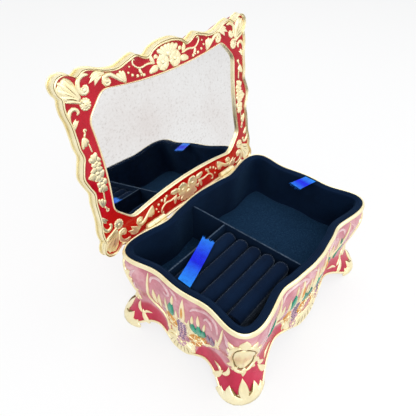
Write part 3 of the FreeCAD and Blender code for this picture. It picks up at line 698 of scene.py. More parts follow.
WORN_AND_SHEEN_EDGES = (("divider_edge", (-12.5, 0, 76.2), (0.6, 51.6, 0.12)),
              ("partition_edge", (-46.4, 17.85, 75.7), (32.6, 0.6, 0.12)))
for name, middle, half in WORN_AND_SHEEN_EDGES:
    make_grid(name, rounded_block(middle, half), SKIN, worn_and_sheen_velvet, "tray", "black_velvet")

# %% [markdown]
# ## Ribbon tabs
# Two short lengths of blue satin ribbon lift the tray. A strip follows an arc with a little curl across its
# width, and a fringe of loose threads ends each cut edge. The weave runs on the strip's own flat
# coordinates.

# %% Ribbon tabs
THREADS, THREAD_SIDE, UPRIGHT = 9, np.array([-0.3, 0.95, 0.0]), np.array([0, 0, 1.0])


def ribbon_strip(back_edge, front_edge, sag, cup):
    """Strip between two long edges: straight across, dipped along by a sine and cupped by the square of the
    width. Towards its free end the length varies across by a few sines, like a torn edge."""
    along, across = np.linspace(0, 1, 61)[:, None], np.linspace(0, 1, 41)[None, :]
    torn = 0.012 * np.sin(17 * across) + 0.010 * np.sin(41 * across + 1.0) + 0.007 * np.sin(73 * across)
    along, across = np.broadcast_arrays(along * (1 + torn * along**6), across)
    back, front = (np.array(start) * (1 - along[..., None]) + np.array(end) * along[..., None]
                   for start, end in (back_edge, front_edge))
    points = back * (1 - across[..., None]) + front * across[..., None]
    points[..., 2] += -sag * np.sin(np.pi * along) + cup * (4 * (across - 0.5) ** 2 - 0.4) * along
    points[..., 2] += 0.15 * np.sin(11 * along + 3 * across) * along * (1 - along)
    return points, np.stack([across, along], -1)


def loose_threads(strip, length, phase):
    """Threads from the strip's torn end: each runs on along the strip, bends aside by a sine and sinks, as
    a thin tube."""
    column = np.linspace(0, strip.shape[1] - 1, THREADS).round().astype(int)
    start, way = strip[-1, column], strip[-1, column] - strip[-4, column]
    way /= np.linalg.norm(way, axis=1)[:, None]
    t, a = np.linspace(-0.3, 1, 8), np.linspace(0, 2 * np.pi, 5, endpoint=False)
    order = np.arange(THREADS)
    reach = (length * (0.45 + 0.55 * np.abs(np.sin(2.3 * order + phase))))[:, None]
    line = start[:, None] + way[:, None] * (reach * t)[..., None]
    line = line + THREAD_SIDE * (0.25 * reach * np.sin(1.9 * order + phase)[:, None] * t**2)[..., None]
    line[..., 2] -= 0.12 * reach * np.maximum(t, 0) ** 2
    thick = 0.16 * (1 - 0.7 * np.clip(t, 0, 1))
    round_it = np.cos(a)[:, None] * THREAD_SIDE + np.sin(a)[:, None] * UPRIGHT
    return line[:, :, None] + thick[None, :, None, None] * round_it[None, None]


RIBBONS = (("left", ((-81.2, 6.6, 78.4), (-37.5, 21.0, 77.2)), ((-80.7, -4.2, 76.8), (-36.0, 10.1, 77.1)),
            1.3, 0.35, (0.011, 0.0465), 1.8, 15),
           ("right", ((83.9, -1.7, 79.85), (66.0, 3.7, 79.9)), ((82.9, -12.6, 79.85), (63.5, -7.7, 79.7)),
            -0.15, 0.2, (0.0112, 0.0195), 3.4, 16))
for hand, back_edge, front_edge, sag, cup, flat, length, phase in RIBBONS:
    points, uv = ribbon_strip(back_edge, front_edge, sag, cup)
    tab = make_grid(f"ribbon_tab_{hand}", points, SHEET, ribbon_blue, "tray", "blue_ribbon", turn=-1,
                    uv=uv, closed=False)
    ends = loose_threads(points, length, phase)
    quads = repeated(grid_quads(*ends.shape[1:3], *SKIN), THREADS, ends[0, ..., 0].size)
    fringe = make_piece(f"ribbon_threads_{hand}", ends, quads, ribbon_blue, "tray", "blue_ribbon",
                        uv=np.broadcast_to((0.5, 1.0), ends.shape[:-1] + (2,)), closed=False)
    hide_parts(f"ribbon_{hand}")

# %% [markdown]
# ## The lid
# The lid's outline is scalloped: a hump in the middle of each long edge, two smaller humps, a lobe at each
# corner. A smooth closed curve through a quarter's points, mirrored twice, gives that line for both the
# frame and the cover. Along the hinge the humps are almost filled, so that the lid closes the gap behind
# the rim.

# %% Lid outline and mirror opening
LID_QUARTER = np.array([
    (0, 67.5), (8, 66.9), (15, 64.8), (21, 61.2), (25, 62.2), (31, 65), (39, 63.4), (48, 61), (58, 62.2),
    (67, 65.4), (74, 66.4), (80, 64), (83.6, 66.2), (88.6, 67.7), (93, 66.4), (95.6, 62.6), (95, 57.6),
    (93, 54), (93.6, 49.6), (93.6, 44.6), (92.2, 37.5), (91.8, 28), (91.7, 21), (90.6, 14), (93, 7.4),
    (95, 0)], float)
LID_HALF, LID_STEPS, OVERLAP = np.array([95.0, 67.5]), 1200, 6
HINGE_STRETCH, FILL_TO, FILL_END, FILL_FADE, FILL_SHARE = 70.5 / 67.5, 70.2, 78.0, 8.0, 0.95
hinge_quarter = LID_QUARTER * (1, HINGE_STRETCH)
filled = np.clip((FILL_END - hinge_quarter[:, 0]) / FILL_FADE, 0.0, 1.0)
hinge_quarter[:, 1] += filled * np.maximum(0.0, FILL_TO - hinge_quarter[:, 1]) * FILL_SHARE
ring = np.concatenate([hinge_quarter, LID_QUARTER[-2::-1] * (1, -1), LID_QUARTER[1:] * (-1, -1),
                       hinge_quarter[-2:0:-1] * (-1, 1)])
ring = np.concatenate([ring[-OVERLAP:], ring, ring[:OVERLAP + 1]])
chord = travel(ring)
even = np.linspace(chord[OVERLAP], chord[-OVERLAP - 1], LID_STEPS, endpoint=False)
lid_line = np.stack([smooth_through(even, chord, ring[:, k]) for k in (0, 1)], -1)
tangent = np.roll(lid_line, -1, 0) - np.roll(lid_line, 1, 0)
lid_normal = np.stack([-tangent[:, 1], tangent[:, 0]], -1) / np.hypot(*tangent.T)[:, None]


def arc_between(start, end, steps, middle):
    """Gently bowed line from start to end through a middle point: a parabola over the chord."""
    t = np.linspace(0, 1, steps, endpoint=False)[:, None]
    bow = 0.0 if middle is None else np.array(middle) - (start + end) / 2
    return start * (1 - t) + end * t + 4 * t * (1 - t) * bow


def bearing_of(line):
    """Direction of flat points from the middle, measured as if the oblong lid were square."""
    x, y = (line / LID_HALF).T
    return np.arctan2(y, x)


def mirror_edge(direction):
    """Mirror opening in that direction from the middle: bowed sides with corner cuts, each point then
    averaged with its neighbours over a few millimetres to round the corners, and read by angle."""
    cuts = np.array([(77.0, -35.1), (77.0, 35.1), (61.6, 50.9), (-61.6, 50.9), (-77.0, 35.1)])
    arcs = zip(cuts, cuts[1:], (200, 60, 300, 60), ((74.5, 0), None, (0, 45.0), None))
    half = np.concatenate([arc_between(*arc) for arc in arcs])
    line = even_ring(np.concatenate([half, -half]), 1600)
    for _ in range(3):
        line = np.mean([np.roll(line, shift, 0) for shift in range(-11, 12)], axis=0)
    bearing = bearing_of(line)
    order = np.argsort(bearing)
    line, bearing = line[order], bearing[order]
    return np.stack([np.interp(direction, bearing, line[:, k], period=2 * np.pi) for k in (0, 1)], -1)


mirror_line = mirror_edge(bearing_of(lid_line))
print(f"lid line {np.abs(lid_line).max(0)}, mirror line {np.abs(mirror_line).max(0)}")


def lid_point(flat, height):
    """Lid point at a flat place and a height behind the closed face, swung open."""
    z = np.broadcast_to(np.asarray(height, float), flat.shape[:-1])
    return swing_open(np.concatenate([flat, (FACE_Z + z)[..., None]], -1))


# %% Mirror frame
FIELD, BORDER, MOULDING, DISH, WARM_FROM, WARM_RUN = 2.5, 2.5, 1.45, 0.25, 5.0, 45.0
INNER_EDGE = ((0.0, 6.7), (0.0, 3.6), (-0.1, 2.3), (-0.35, 1.75), (-0.7, 1.5), (-1.05, 1.65), (-1.3, 2.0),
              (-MOULDING, FIELD))
OUTER_EDGE = ((BORDER, FIELD), (2.35, 1.6), (2.05, 0.85), (1.65, 0.5), (1.25, 0.6), (0.95, 1.1), (0.75, 1.3),
              (0.5, 1.05), (0.25, 0.7), (0.08, 0.75), (0, 1.1), (0, 6.2), (0.5, 6.7))
ENAMEL_ROWS, GROOVE_ROWS = slice(7, 16), slice(21, 23)
inward = mirror_line - lid_line
inward /= np.hypot(*inward.T)[:, None]
first, last = mirror_line - inward * MOULDING, lid_line + inward * BORDER
frame_rows = [(mirror_line + inward * from_mirror, height) for from_mirror, height in INNER_EDGE]
for share in np.linspace(0.08, 0.92, 8):
    frame_rows.append((first + (last - first) * share, FIELD - DISH * np.sin(np.pi * share)))
frame_rows += [(lid_line + inward * from_edge, height) for from_edge, height in OUTER_EDGE]
frame_points = np.stack([lid_point(*row) for row in frame_rows])
frame_gilt = np.ones((len(frame_rows), LID_STEPS), int)
# The groove rows of the border take the dark gold: patina, with painted shade in the groove.
frame_gilt[ENAMEL_ROWS], frame_gilt[GROOVE_ROWS] = 0, 2
warm = np.stack([np.clip((flat[:, 1] - WARM_FROM) / WARM_RUN, 0.0, 1.0) for flat, height in frame_rows])
mirror_surround = make_grid("mirror_surround", frame_points, TUBE, [crimson, gold, groove_patina_and_shade], "lid",
                            "red_enamel", finish_of=frame_gilt.ravel(), crease=50,
                            attribute=("near_hinge", warm))
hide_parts("mirror_frame")

# %% Lid cover
COVER_BACK = ((0.001, 6.78), (0.6, 6.78), (0.97, 6.78))
COVER_LIP = ((0.1, 6.78), (0.5, 6.82), (0.75, 7.05), (0.8, 7.35), (0.6, 7.7), (0.1, 7.85), (-0.6, 7.75),
             (-1.2, 7.55))
COVER_DOME = ((0.982, 7.9), (0.977, 9.4), (0.962, 11.6), (0.938, 13.8), (0.904, 15.8), (0.86, 17.3),
              (0.8, 18.4), (0.72, 19.1), (0.6, 19.3), (0.45, 19.3), (0.3, 19.3), (0.15, 19.3), (0.001, 19.3))
cover_rows = [(lid_line * scale, height) for scale, height in COVER_BACK]
cover_rows += [(lid_line + lid_normal * grow, height) for grow, height in COVER_LIP]
gilt_rows = len(cover_rows)
cover_rows += [(lid_line * scale, height) for scale, height in COVER_DOME]
cover_points = np.stack([lid_point(*row) for row in cover_rows])
cover_gilt = np.zeros((len(cover_rows) - 1, LID_STEPS), int)
cover_gilt[:gilt_rows] = 1
lid_cover = make_grid("lid_cover", cover_points, SKIN, [crimson, gold], "lid", "lid_enamel",
                      finish_of=cover_gilt.ravel(), crease=50)
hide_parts("lid_shell")

# %% [markdown]
# ## Raised gilt ornament
# The casting carries leaves, scrolls and flowers in low relief. On the real case they are part of the
# mould; a chaser would cut each one as a stroke that swells and tapers. Here a stroke is the same thing: a
# flat line through a few points, a half width that swells along it, and an arched section, closed
# underneath and sunk a little into the ground.

# %% Strokes, leaves, beads and blossoms
STEPS, TOP_RIBS, SUNK = 18, 9, -0.5


def stroke(path, widths, height, vein):
    """Flat places and lifts of one stroke: a line through the path, half widths along it, arched across."""
    path = np.asarray(path, float)
    knots = travel(path)
    t = (1 - np.cos(np.linspace(0, np.pi, STEPS))) / 2
    line = np.stack([smooth_through(t * knots[-1], knots, path[:, k]) for k in (0, 1)], -1)
    way = np.gradient(line, axis=0)
    side = np.stack([-way[:, 1], way[:, 0]], -1) / (np.hypot(*way.T)[:, None] + 1e-9)
    width = np.maximum(smooth_through(t, np.linspace(0, 1, len(widths)), widths), 0.0)
    width = width * np.sqrt(np.clip(16 * t * (1 - t), 0, 1))
    a = np.linspace(0, np.pi, TOP_RIBS)
    arch = -0.35 + (1.35 - vein * np.exp(-(np.cos(a) / 0.25) ** 2)) * np.sin(a) ** 0.55
    across = np.r_[np.cos(a), 0.0]
    full = (width / max(width.max(), 1e-6)) ** 0.5
    lift = np.concatenate([height * arch[None, :] * full[:, None], np.full((STEPS, 1), SUNK)], 1)
    return line[:, None] + across[None, :, None] * width[:, None, None] * side[:, None], lift


def curls(*rows):
    """Plain strokes, each given by its height, its half widths and the points of its line."""
    return [(path, widths, height, 0.0) for height, widths, *path in rows]


def leaves(*rows, height=1.0, vein=0.35):
    """Leaves, each given by its half width and the points of its line: pointed at the end, widest after the
    first third, with a vein."""
    return [(path, [0.35 * width, width, 0.8 * width, 0.05], height, vein) for width, *path in rows]


def bead(u, v, r, height):
    """Round bead as a stroke one diameter long with a round width."""
    return [([(u - r, v), (u, v), (u + r, v)], [r * 0.75, r, r * 0.75], height, 0.0)]


def blossom(u, v, r, petals=5, turn=0.0, height=1.1):
    """Open flower: petals as short broad strokes round a bead."""
    parts = []
    for a in turn + 2 * np.pi * np.arange(petals) / petals:
        tip = np.array([np.cos(a), np.sin(a)])
        path = [(u, v) + share * r * tip for share in (0.12, 0.6, 1)]
        parts.append((path, [0.25 * r, 0.56 * r, 0.48 * r], height, 0.2))
    return parts + bead(u, v, 0.3 * r, height * 1.2)


def veins(u, v, r, petals, turn, height):
    """Thin gilt lines between the petals of a flower."""
    parts = []
    for a in turn + 2 * np.pi * (np.arange(petals) + 0.5) / petals:
        path = [(u + k * r * np.cos(a), v + k * r * np.sin(a)) for k in (0.2, 0.6, 1.0)]
        parts.append((path, [0.3, 0.42, 0.5], height, 0.0))
    return parts


def fan(heart, tips, width, height=1.1, vein=0.0):
    """Fluted shell or tuft: broad strokes from one heart to each tip, close enough to run together."""
    heart, widths = np.asarray(heart, float), [0.6 * width, width, 1.1 * width, 0.6 * width]
    return [([heart, (heart + tip) / 2, tip], widths, height, vein) for tip in np.asarray(tips, float)]


def flipped(parts, u_sign, v_sign):
    """Mirrored copy of a group of strokes."""
    return [(np.asarray(path, float) * (u_sign, v_sign), *rest) for path, *rest in parts]


def both_ways(parts):
    """Group of strokes with its mirror image across the middle line."""
    return parts + flipped(parts, -1, 1)


def thicker(parts, share):
    """Group of strokes with their widths multiplied."""
    return [(path, [share * width for width in widths], *rest) for path, widths, *rest in parts]


def relief(name, parts, chart, finish, body, slot):
    """One piece of many strokes, laid on a surface by its chart of flat place and lift."""
    flat, lift = (np.stack(each) for each in zip(*[stroke(*part) for part in parts]))
    quads = repeated(grid_quads(*lift.shape[1:], *SKIN), len(flat), lift[0].size)
    return make_piece(name, chart(flat.reshape(-1, 2), lift.ravel()), quads, finish, body, slot)


# %% [markdown]
# ## Relief of the mirror frame
# Each corner of the frame has a solid shell with a milled rosette. Scrolls and leaves run from it towards a
# bunch of blossoms in the middle of every edge. One quarter is drawn and mirrored to the other three, as
# such moulds are.

# %% Corner shell, rosette and scrolls of a quarter
ROSETTE_U, ROSETTE_V, MILLING = 77.4, 46.1, 3.3
frame_quarter = curls(
    (0.9, (5, 6.4, 5.8, 3.4, 1), (91.6, 62.6), (88.2, 58.8), (84.2, 54.6), (79.8, 49.8)),
    (1.25, (0.7, 1.2, 1.1, 0.8), (90.6, 51.8), (86, 50.6), (82, 48.8), (79.2, 47.2)),
    (1.15, (0.8, 1.3, 1.5, 1.6, 1.5, 1.3, 1.1, 0.8), (69.6, 62.4), (74, 63.2), (77.4, 61.8), (79.2, 58.2),
     (78.6, 54.4), (75.8, 52.2), (73, 53.6), (73.4, 56.6), (75.6, 57)),
    (1.15, (0.7, 1, 1.3, 1.5, 1.5, 1.3, 1.1, 0.8), (42, 49.2), (46, 51.8), (50.4, 55.4), (54.8, 58.2),
     (59, 57.8), (60.4, 54.8), (58.4, 52.4), (55.4, 53.2), (55.2, 55.8)),
    (0.9, (0.7, 0.8, 0.75, 0.7, 0.65, 0.5), (13.8, 54.4), (21.6, 55.8), (28.6, 55), (32.8, 57.4),
     (34.4, 60.4), (32.8, 62), (31.6, 60.6)),
    (1.15, (0.8, 1.2, 1.4, 1.4, 1.3, 1.1, 0.9), (90.6, 35.4), (91.4, 39.6), (90.4, 43.6), (87.6, 46),
     (84.6, 45.2), (83.6, 42.8), (85.2, 41.6)),
    (0.9, (0.8, 0.7, 0.6, 0.5), (84.6, 26.6), (83.2, 29), (83.6, 31), (82.2, 31), (81.8, 29.4)),
    (0.9, (0.5, 0.6, 0.5), (82.8, 21.4), (82.4, 18), (82, 14.8)))
frame_quarter += [([(12.0, 50.8), (16.4, 50.6), (20.6, 49.2)], [1.8, 2.4, 2.0, 1.0], 1.15, 0.2)]
frame_quarter += fan((80, 49.8), ((93.2, 55.4), (93.8, 60), (91.6, 63.8), (87.6, 64.4), (84.6, 61.2)),
                     2.0, 1.15)
frame_quarter += fan((42.6, 49.8), ((48.8, 57), (46.2, 58.2), (43.6, 57.6)), 1.35)
frame_quarter += fan((85.4, 26.6), ((87.6, 19), (84.8, 19.8), (82.6, 21.6)), 1.3)
frame_quarter += leaves(
    (1.7, (57.6, 60), (63.4, 60.6), (67.6, 59), (71.2, 57)), (1.7, (59.6, 60.2), (64, 58.4), (67.2, 54.6)),
    (1.2, (60, 61.4), (65, 62), (69.6, 60.2)), (1.1, (29.4, 55), (28.6, 52.6), (26.4, 50)),
    (1.6, (14.6, 55), (16.8, 57.6), (17.8, 62)), (1.5, (90.4, 33), (88.4, 36), (84.8, 38.2)),
    (1.2, (89.8, 34.6), (87.6, 38.4), (86.4, 39.8)))
frame_quarter += bead(ROSETTE_U, ROSETTE_V, 3.5, 1.1) + bead(ROSETTE_U, ROSETTE_V, 1.1, 1.6)
for a in np.radians(np.arange(0, 360, 30)):
    frame_quarter += bead(ROSETTE_U + MILLING * np.cos(a), ROSETTE_V + MILLING * np.sin(a), 0.95, 1)
for u, v, r, height in (
        (75.6, 54.7, 2, 1.2), (57.4, 55, 1.9, 1.2), (39.2, 54.7, 0.85, 0.9), (36.1, 52.2, 1.05, 0.9),
        (31.8, 50.5, 1.15, 0.9), (28.4, 50.2, 0.8, 0.9), (26, 49.6, 1.15, 0.9), (37.6, 58.2, 0.7, 0.9)):
    frame_quarter += bead(u, v, r, height)
frame_quarter = thicker(frame_quarter, 1.1)
# Grooves of the corner shell and rosette in the dark gold: patina, with painted shade in the cuts.
groove_quarter = curls(
    (1.5, (0.35, 0.5, 0.3), (89.4, 53.2), (85.6, 52), (82.4, 50.2)),
    (1.3, (0.2, 0.34, 0.2), (90.8, 57.6), (86.4, 54.6), (82.8, 52)),
    (1.3, (0.2, 0.34, 0.2), (87.4, 61), (84.6, 57), (81.8, 52.6)),
    (1.4, (0.2, 0.4, 0.3), (80.6, 48.6), (79.2, 47.6), (78.2, 46.6)),
    (1.3, (0.2, 0.35, 0.2), (76, 54), (76.8, 55), (75.8, 56), (74.6, 55.2)),
    (1.35, (0.2, 0.35, 0.2), (58.2, 54.4), (57.6, 56), (56.2, 55.4)))
print("strokes in a quarter of the frame:", len(frame_quarter) + len(groove_quarter))

# %% Blossoms in the middles, and the whole frame
frame_middle = both_ways(fan((0, 57), ((10.6, 62), (6.6, 63.6), (2.2, 64.6)), 2.2, 1.1, 0.15))
frame_middle += blossom(-6.4, 53.2, 6, 6, 0.2) + blossom(6.2, 52.8, 6, 6, 0.5) + bead(0, 57.8, 2.6, 1.5)
frame_middle += both_ways(leaves((1.6, (10.6, 57.4), (13, 58.6), (14.4, 56.8))))
frame_side = blossom(82.8, 1.2, 5.6, 5, 0.2) + blossom(81.4, -6.6, 4.2, 4, 0.6)
frame_side += blossom(81.2, 9.4, 4.2, 4, 0.1)
frame_side += fan((82.4, -7), ((86, -11.4), (83, -13.4), (79.8, -13.8)), 1.8)
frame_side += fan((81.6, 10.4), ((84.8, 14.8), (82, 16.4), (78.8, 16.2)), 1.8)
frame_side += leaves((2.3, (84.6, 1.6), (87.4, 1.8), (90.6, 1.7)),
                     (1.5, (79.6, 6.4), (78.2, 8.6), (77.6, 11.4)))
frame_parts, groove_parts = [], []
for sign in (-1, 1):
    frame_parts += flipped(frame_side, sign, 1) + flipped(frame_middle, 1, sign)
    for other in (-1, 1):
        frame_parts += flipped(frame_quarter, sign, other)
        groove_parts += flipped(groove_quarter, sign, other)


def frame_chart(flat, lift):
    """Strokes stand on the enamel field of the frame, raised towards the closed face, and those on the
    hinge side are stretched with it."""
    flat = flat * np.where(flat[:, 1:] > 0, (1.0, HINGE_STRETCH), (1.0, 1.0))
    return lid_point(flat, FIELD - 0.1 - lift)


relief("frame_relief", frame_parts, frame_chart, gold, "lid", "gold_plate")
relief("frame_grooves", groove_parts, frame_chart, groove_patina_and_shade, "lid", "gold_plate")

# %% [markdown]
# ## Relief of the lid's back
# The back of the lid is seen when the case is closed or turned round. It follows the manner of the frame: a
# gilt line round the dome, an oval with blossoms in the middle, and a spray towards each corner, on crimson
# enamel.

# %% Relief of the lid's back
DOME_TOP, OVAL, LINE_SCALE, LINE_Z = 19.25, np.array([30.0, 18.5]), 0.86, 17.35
back_quarter = fan((33, 22), ((45, 30), (40.6, 33), (48.4, 25.4)), 2.2) + bead(33.6, 22.4, 2.2, 1.4)
back_quarter += leaves((1.8, (31, 21), (24, 28.4), (12, 33.4)), (1.8, (35.6, 19), (43.6, 14), (47.4, 5)),
                       (2, (10, 6), (17, 9.6), (23, 7.6)), (1.8, (6, 8), (8.4, 13), (15, 16)))
back_quarter = thicker(back_quarter, 1.5)
back_parts = blossom(0, 0, 7, 6, 0.2, 1.2) + both_ways(blossom(12, 0, 4.6))
back_parts += both_ways(back_quarter + flipped(back_quarter, 1, -1))
for start in np.arange(0, 2 * np.pi, np.pi / 3):
    arc = np.linspace(start - 0.02, start + np.pi / 3 + 0.02, 9)
    back_parts += [(OVAL * np.stack([np.cos(arc), np.sin(arc)], -1), [1.0, 1.1, 1.1, 1.0], 1.1, 0.0)]
relief("lid_back_relief", back_parts, lambda flat, lift: lid_point(flat, DOME_TOP + lift), gold, "lid",
       "gold_plate")
tube = np.linspace(0, 2 * np.pi, 10, endpoint=False)
back_line = np.stack([lid_point(lid_line * (LINE_SCALE + 0.012 * np.cos(t)),
                                LINE_Z - 0.25 * np.cos(t) + 0.9 * np.sin(t)) for t in tube])
make_grid("lid_back_line", back_line, TUBE, gold, "lid", "gold_plate")

# %% [markdown]
# ## Relief of the body
# Every side has the same scheme. A gilt line draws a panel on the rose enamel; a bouquet with green leaves,
# amber and mauve flowers hangs in it, and a gilt fringe fills the apron's lobe. A plain shield sits on each
# corner, and acanthus leaves wrap the toes. Flat places are distances along the rim and heights above the
# table, so the wall bends them.

# %% Charts on the wall
LONG_HALF = GIRTH / 4 - CORNER
SIDES = ((0.0, CORNER), (GIRTH / 4, LONG_HALF), (GIRTH / 2, CORNER), (3 * GIRTH / 4, LONG_HALF))
CORNERS = ((CORNER, 1), (GIRTH / 2 - CORNER, -1), (GIRTH / 2 + CORNER, 1), (GIRTH - CORNER, -1))


def wall_chart(flat, lift):
    """Point of the wall at a rim distance and height, moved out along the wall's normal by the lift."""
    angle, z = angle_at(flat[:, 0]), np.clip(flat[:, 1], 0.1, WALL_TOP - 0.1)
    run = wall(angle + 1e-3, z) - wall(angle - 1e-3, z)
    rise = wall(angle, np.minimum(z + 0.1, WALL_TOP)) - wall(angle, np.maximum(z - 0.1, 0.0))
    normal = np.cross(run, rise)
    normal /= np.linalg.norm(normal, axis=1)[:, None]
    point = wall(angle, z) + normal * lift[:, None]
    point[:, 2] = np.maximum(point[:, 2], 0.05)
    return point


def moved(parts, shift, stretch=1.0):
    """Group of strokes moved along the rim, with places, but not widths, stretched about its middle."""
    return [(np.asarray(path, float) * (stretch, 1) + (shift, 0), *rest) for path, *rest in parts]


print(f"half lengths of the sides along the rim: {CORNER:.1f} and {LONG_HALF:.1f} mm")

# %% Gilt panels, apron fan and rose scrolls of a side
PANEL, FLUTE = (0.7, 1.1, 1.2, 1.2, 1.2, 1.2, 1.0), (0.15, 0.28, 0.15)
side_gilt = curls(
    (1.1, PANEL, (-30.4, 73.5), (-31.4, 64), (-32.4, 54), (-32.8, 44), (-29, 36.4), (-22, 33),
     (-16.4, 29.4), (-13, 23), (-10.6, 16)),
    (1.1, PANEL, (41, 73), (40.6, 64), (38.2, 54), (34.4, 44), (29.4, 36), (22, 30.6), (16, 27),
     (12.6, 21), (10.2, 15.4)))
side_gilt += fan((0, 18.6), ((0, 6.6),), 2.3, 1.2, 0.15)
side_gilt += both_ways(
    fan((0, 18.6), ((3.4, 6.8), (7.2, 7.4), (10.6, 9.6), (13.4, 13.0)), 2.3, 1.2, 0.15)
    + curls((1.2, (0.7, 1.5, 1.4, 0.8), (3.0, 19.4), (8.4, 20.2), (12.6, 16.6), (14.0, 13.2)))
    + leaves((1.8, (42, 17.4), (45.6, 21.4), (45.2, 27.6)), (1.2, (41, 17), (37.6, 20.6), (32, 21.6))))
# Flutes of the apron fan in the dark gold: patina, with painted shade in the cuts.
side_grooves = both_ways(curls((1.35, FLUTE, (1.4, 15.6), (1.7, 11), (1.8, 7.8)),
                               (1.35, FLUTE, (3.6, 15.6), (5, 11.4), (5.6, 8.2)),
                               (1.35, FLUTE, (5.8, 15.6), (8.4, 12.2), (9.4, 9.6))))
# Raised scrolls and leaves in rose relief, painted pale rose as a painted highlight on their relief.
side_rose = curls(
    (1, (0.8, 1.3, 1.5, 1.4, 1.2, 0.8), (-29, 63.5), (-27.6, 69.5), (-21, 72.6), (-13, 71), (-8.6, 66.4),
     (-11.6, 63.6), (-15, 65.4)),
    (1, (0.8, 1.3, 1.5, 1.3, 0.8), (37, 62.5), (35.6, 69), (29.4, 72.4), (20, 71.2), (13.6, 68.4),
     (10.4, 64.4)),
    (0.9, (0.6, 1.2, 1.2, 0.6), (31, 60), (29.4, 65.4), (24.6, 66.4), (22.6, 63)),
    (0.9, (0.5, 1.2, 0.5), (-8, 73.2), (-3, 70.6), (-0.4, 66)))
side_rose += both_ways(leaves((2, (45.6, 31), (47.4, 42), (44.6, 56)),
                              (1.5, (46.4, 60), (45.4, 66), (41.8, 71)),
                              height=0.9))
print("strokes on a side, without its bouquet:", len(side_gilt) + len(side_grooves) + len(side_rose))

# %% Bouquet of a side
LEFT_FLOWER, RIGHT_FLOWER = (-8.8, 33.4, 5.2, 6, 0.3), (13.8, 28.6, 5.8, 6, 0.1)
SMALL_FLOWER, LOW_FLOWER = (19.4, 33.6, 3.4, 5, 0.0), (1.4, 18.2, 4.6, 6, 0.2)
BERRY_ROWS, BERRY_PITCH = (2, 3, 3, 3, 3, 3, 2, 2), 3.0
gilt_parts = curls((0.55, (8, 11, 14, 15, 12, 7), (0.6, 14), (1, 22), (2, 31), (2.4, 40), (2.6, 47)))
gilt_parts += leaves((2.6, (3, 42), (3.8, 55), (4.2, 72.6)), height=1.3, vein=0)
gilt_parts += leaves((1.2, (-3.6, 30), (-5.6, 26), (-5.2, 21)), (1.2, (7.4, 31), (6.8, 36), (8, 41)),
                     height=1.4)
gilt_parts += leaves(
    (1.3, (-5.8, 58), (-5.4, 63), (-5, 69)), (1.3, (12, 50), (12.2, 55), (12.4, 61)),
    (1.6, (17.4, 51), (17.4, 57), (17.2, 64.4)), (1.3, (22, 49), (22.8, 54), (23.8, 60)),
    (2, (34, 38), (35.6, 46), (35.2, 55)), (2.2, (-26, 39), (-26.6, 46), (-27, 58)),
    (2.2, (-22, 38), (-21.6, 46), (-20.4, 57)), (1.5, (-13.6, 37), (-12.8, 46), (-13, 60)),
    (1.4, (8.6, 34), (8.6, 44), (9.4, 54)), (1.3, (-4, 40), (-2.4, 47), (-2, 55)),
    (1.4, (-10.5, 27), (-13.5, 24), (-14.6, 19.6)), (1.4, (9.5, 22.4), (12.4, 20), (13.6, 16)),
    (1.2, (30, 36), (33, 40), (33.4, 47)), (1.2, (26, 33), (23, 30), (18, 29.4)),
    (1.2, (-17, 34), (-14, 31), (-10, 29)))
for flower in (LEFT_FLOWER, RIGHT_FLOWER, SMALL_FLOWER, LOW_FLOWER):
    u, v, r = flower[:3]
    gilt_parts += veins(*flower, 1.75) + bead(u, v, 0.3 * r, 2.1)
green_parts = leaves((3.3, (-8, 42), (-7.8, 50), (-5.6, 62)), height=1.3, vein=0.2)
green_parts += leaves((2.5, (14.4, 37), (12.6, 44), (12, 53)), (2.4, (18.8, 37), (21, 43), (22.2, 52)),
                      height=1.4)
green_parts += leaves((2.7, (16.6, 36), (17.4, 44), (17.4, 54)), height=1.5)
amber_parts = blossom(*LEFT_FLOWER, 1.6) + blossom(*RIGHT_FLOWER, 1.6) + blossom(*SMALL_FLOWER, 1.3)
amber_parts += leaves((1.3, (3.4, 50), (4, 57), (4.2, 66)), height=2, vein=0)
amber_parts += blossom(-11.6, 40, 3, 5, 0.5, 1.3)
mauve_parts = leaves((2.8, (27, 34), (29.6, 41), (29.8, 51)), height=1.3)
mauve_parts += leaves((1.8, (24.6, 36), (25.6, 42), (26, 49)), height=1.2)
for row, count in enumerate(BERRY_ROWS):
    for place in np.arange(count) - (count - 1) / 2:
        mauve_parts += bead(1.6 + BERRY_PITCH * place, 44.2 - BERRY_PITCH * row, 1.05, 1.7)
rosy_parts = blossom(*LOW_FLOWER, 1.6) + blossom(6.4, 24.4, 2.8, 5, 0.5, 1.2)
rosy_parts += leaves((2.4, (-18.4, 35), (-16.8, 41), (-15, 50)), height=1.2)
berry_ground = curls((1.1, (2, 4.4, 4.6, 4.4, 2), (1.6, 46.4), (1.6, 40), (1.6, 29), (1.6, 21.4)))
bouquet = {"body_relief": gilt_parts, "bouquet_leaves": green_parts, "bouquet_amber_flowers": amber_parts,
           "bouquet_berries": mauve_parts, "bouquet_roses": rosy_parts, "rose_scrolls": berry_ground}
print("strokes in a bouquet:", sum(len(parts) for parts in bouquet.values()))

# %% Shields and toes
SHIELD_Z = [27.5, 28.2, 30.4, 34.0, 40.0, 47.0, 54.0, 58.5, 62.0, 63.5, 64.0]
SHIELD_HALF = [0.0, 5.6, 9.8, 11.4, 11.0, 9.7, 7.8, 6.2, 4.4, 3.0, 0.0]
SHIELD_MIDDLE, SHIELD_REACH, LEAN, LEAN_FROM = np.array([0.2, 45.75]), 18.25, 0.16, 47.0


def shield_line(turn, grow=1.0):
    """Outline of a corner shield: height by the sine of the turn, half width read from the pear-shaped
    table, and a slight lean that follows the flare of the corner."""
    middle = SHIELD_MIDDLE[1]
    z = middle + SHIELD_REACH * np.sin(turn)
    half = np.interp(z, SHIELD_Z, SHIELD_HALF)
    return np.stack([grow * half * np.sign(np.cos(turn)) - LEAN * (z - LEAN_FROM),
                     middle + grow * (z - middle)], -1)


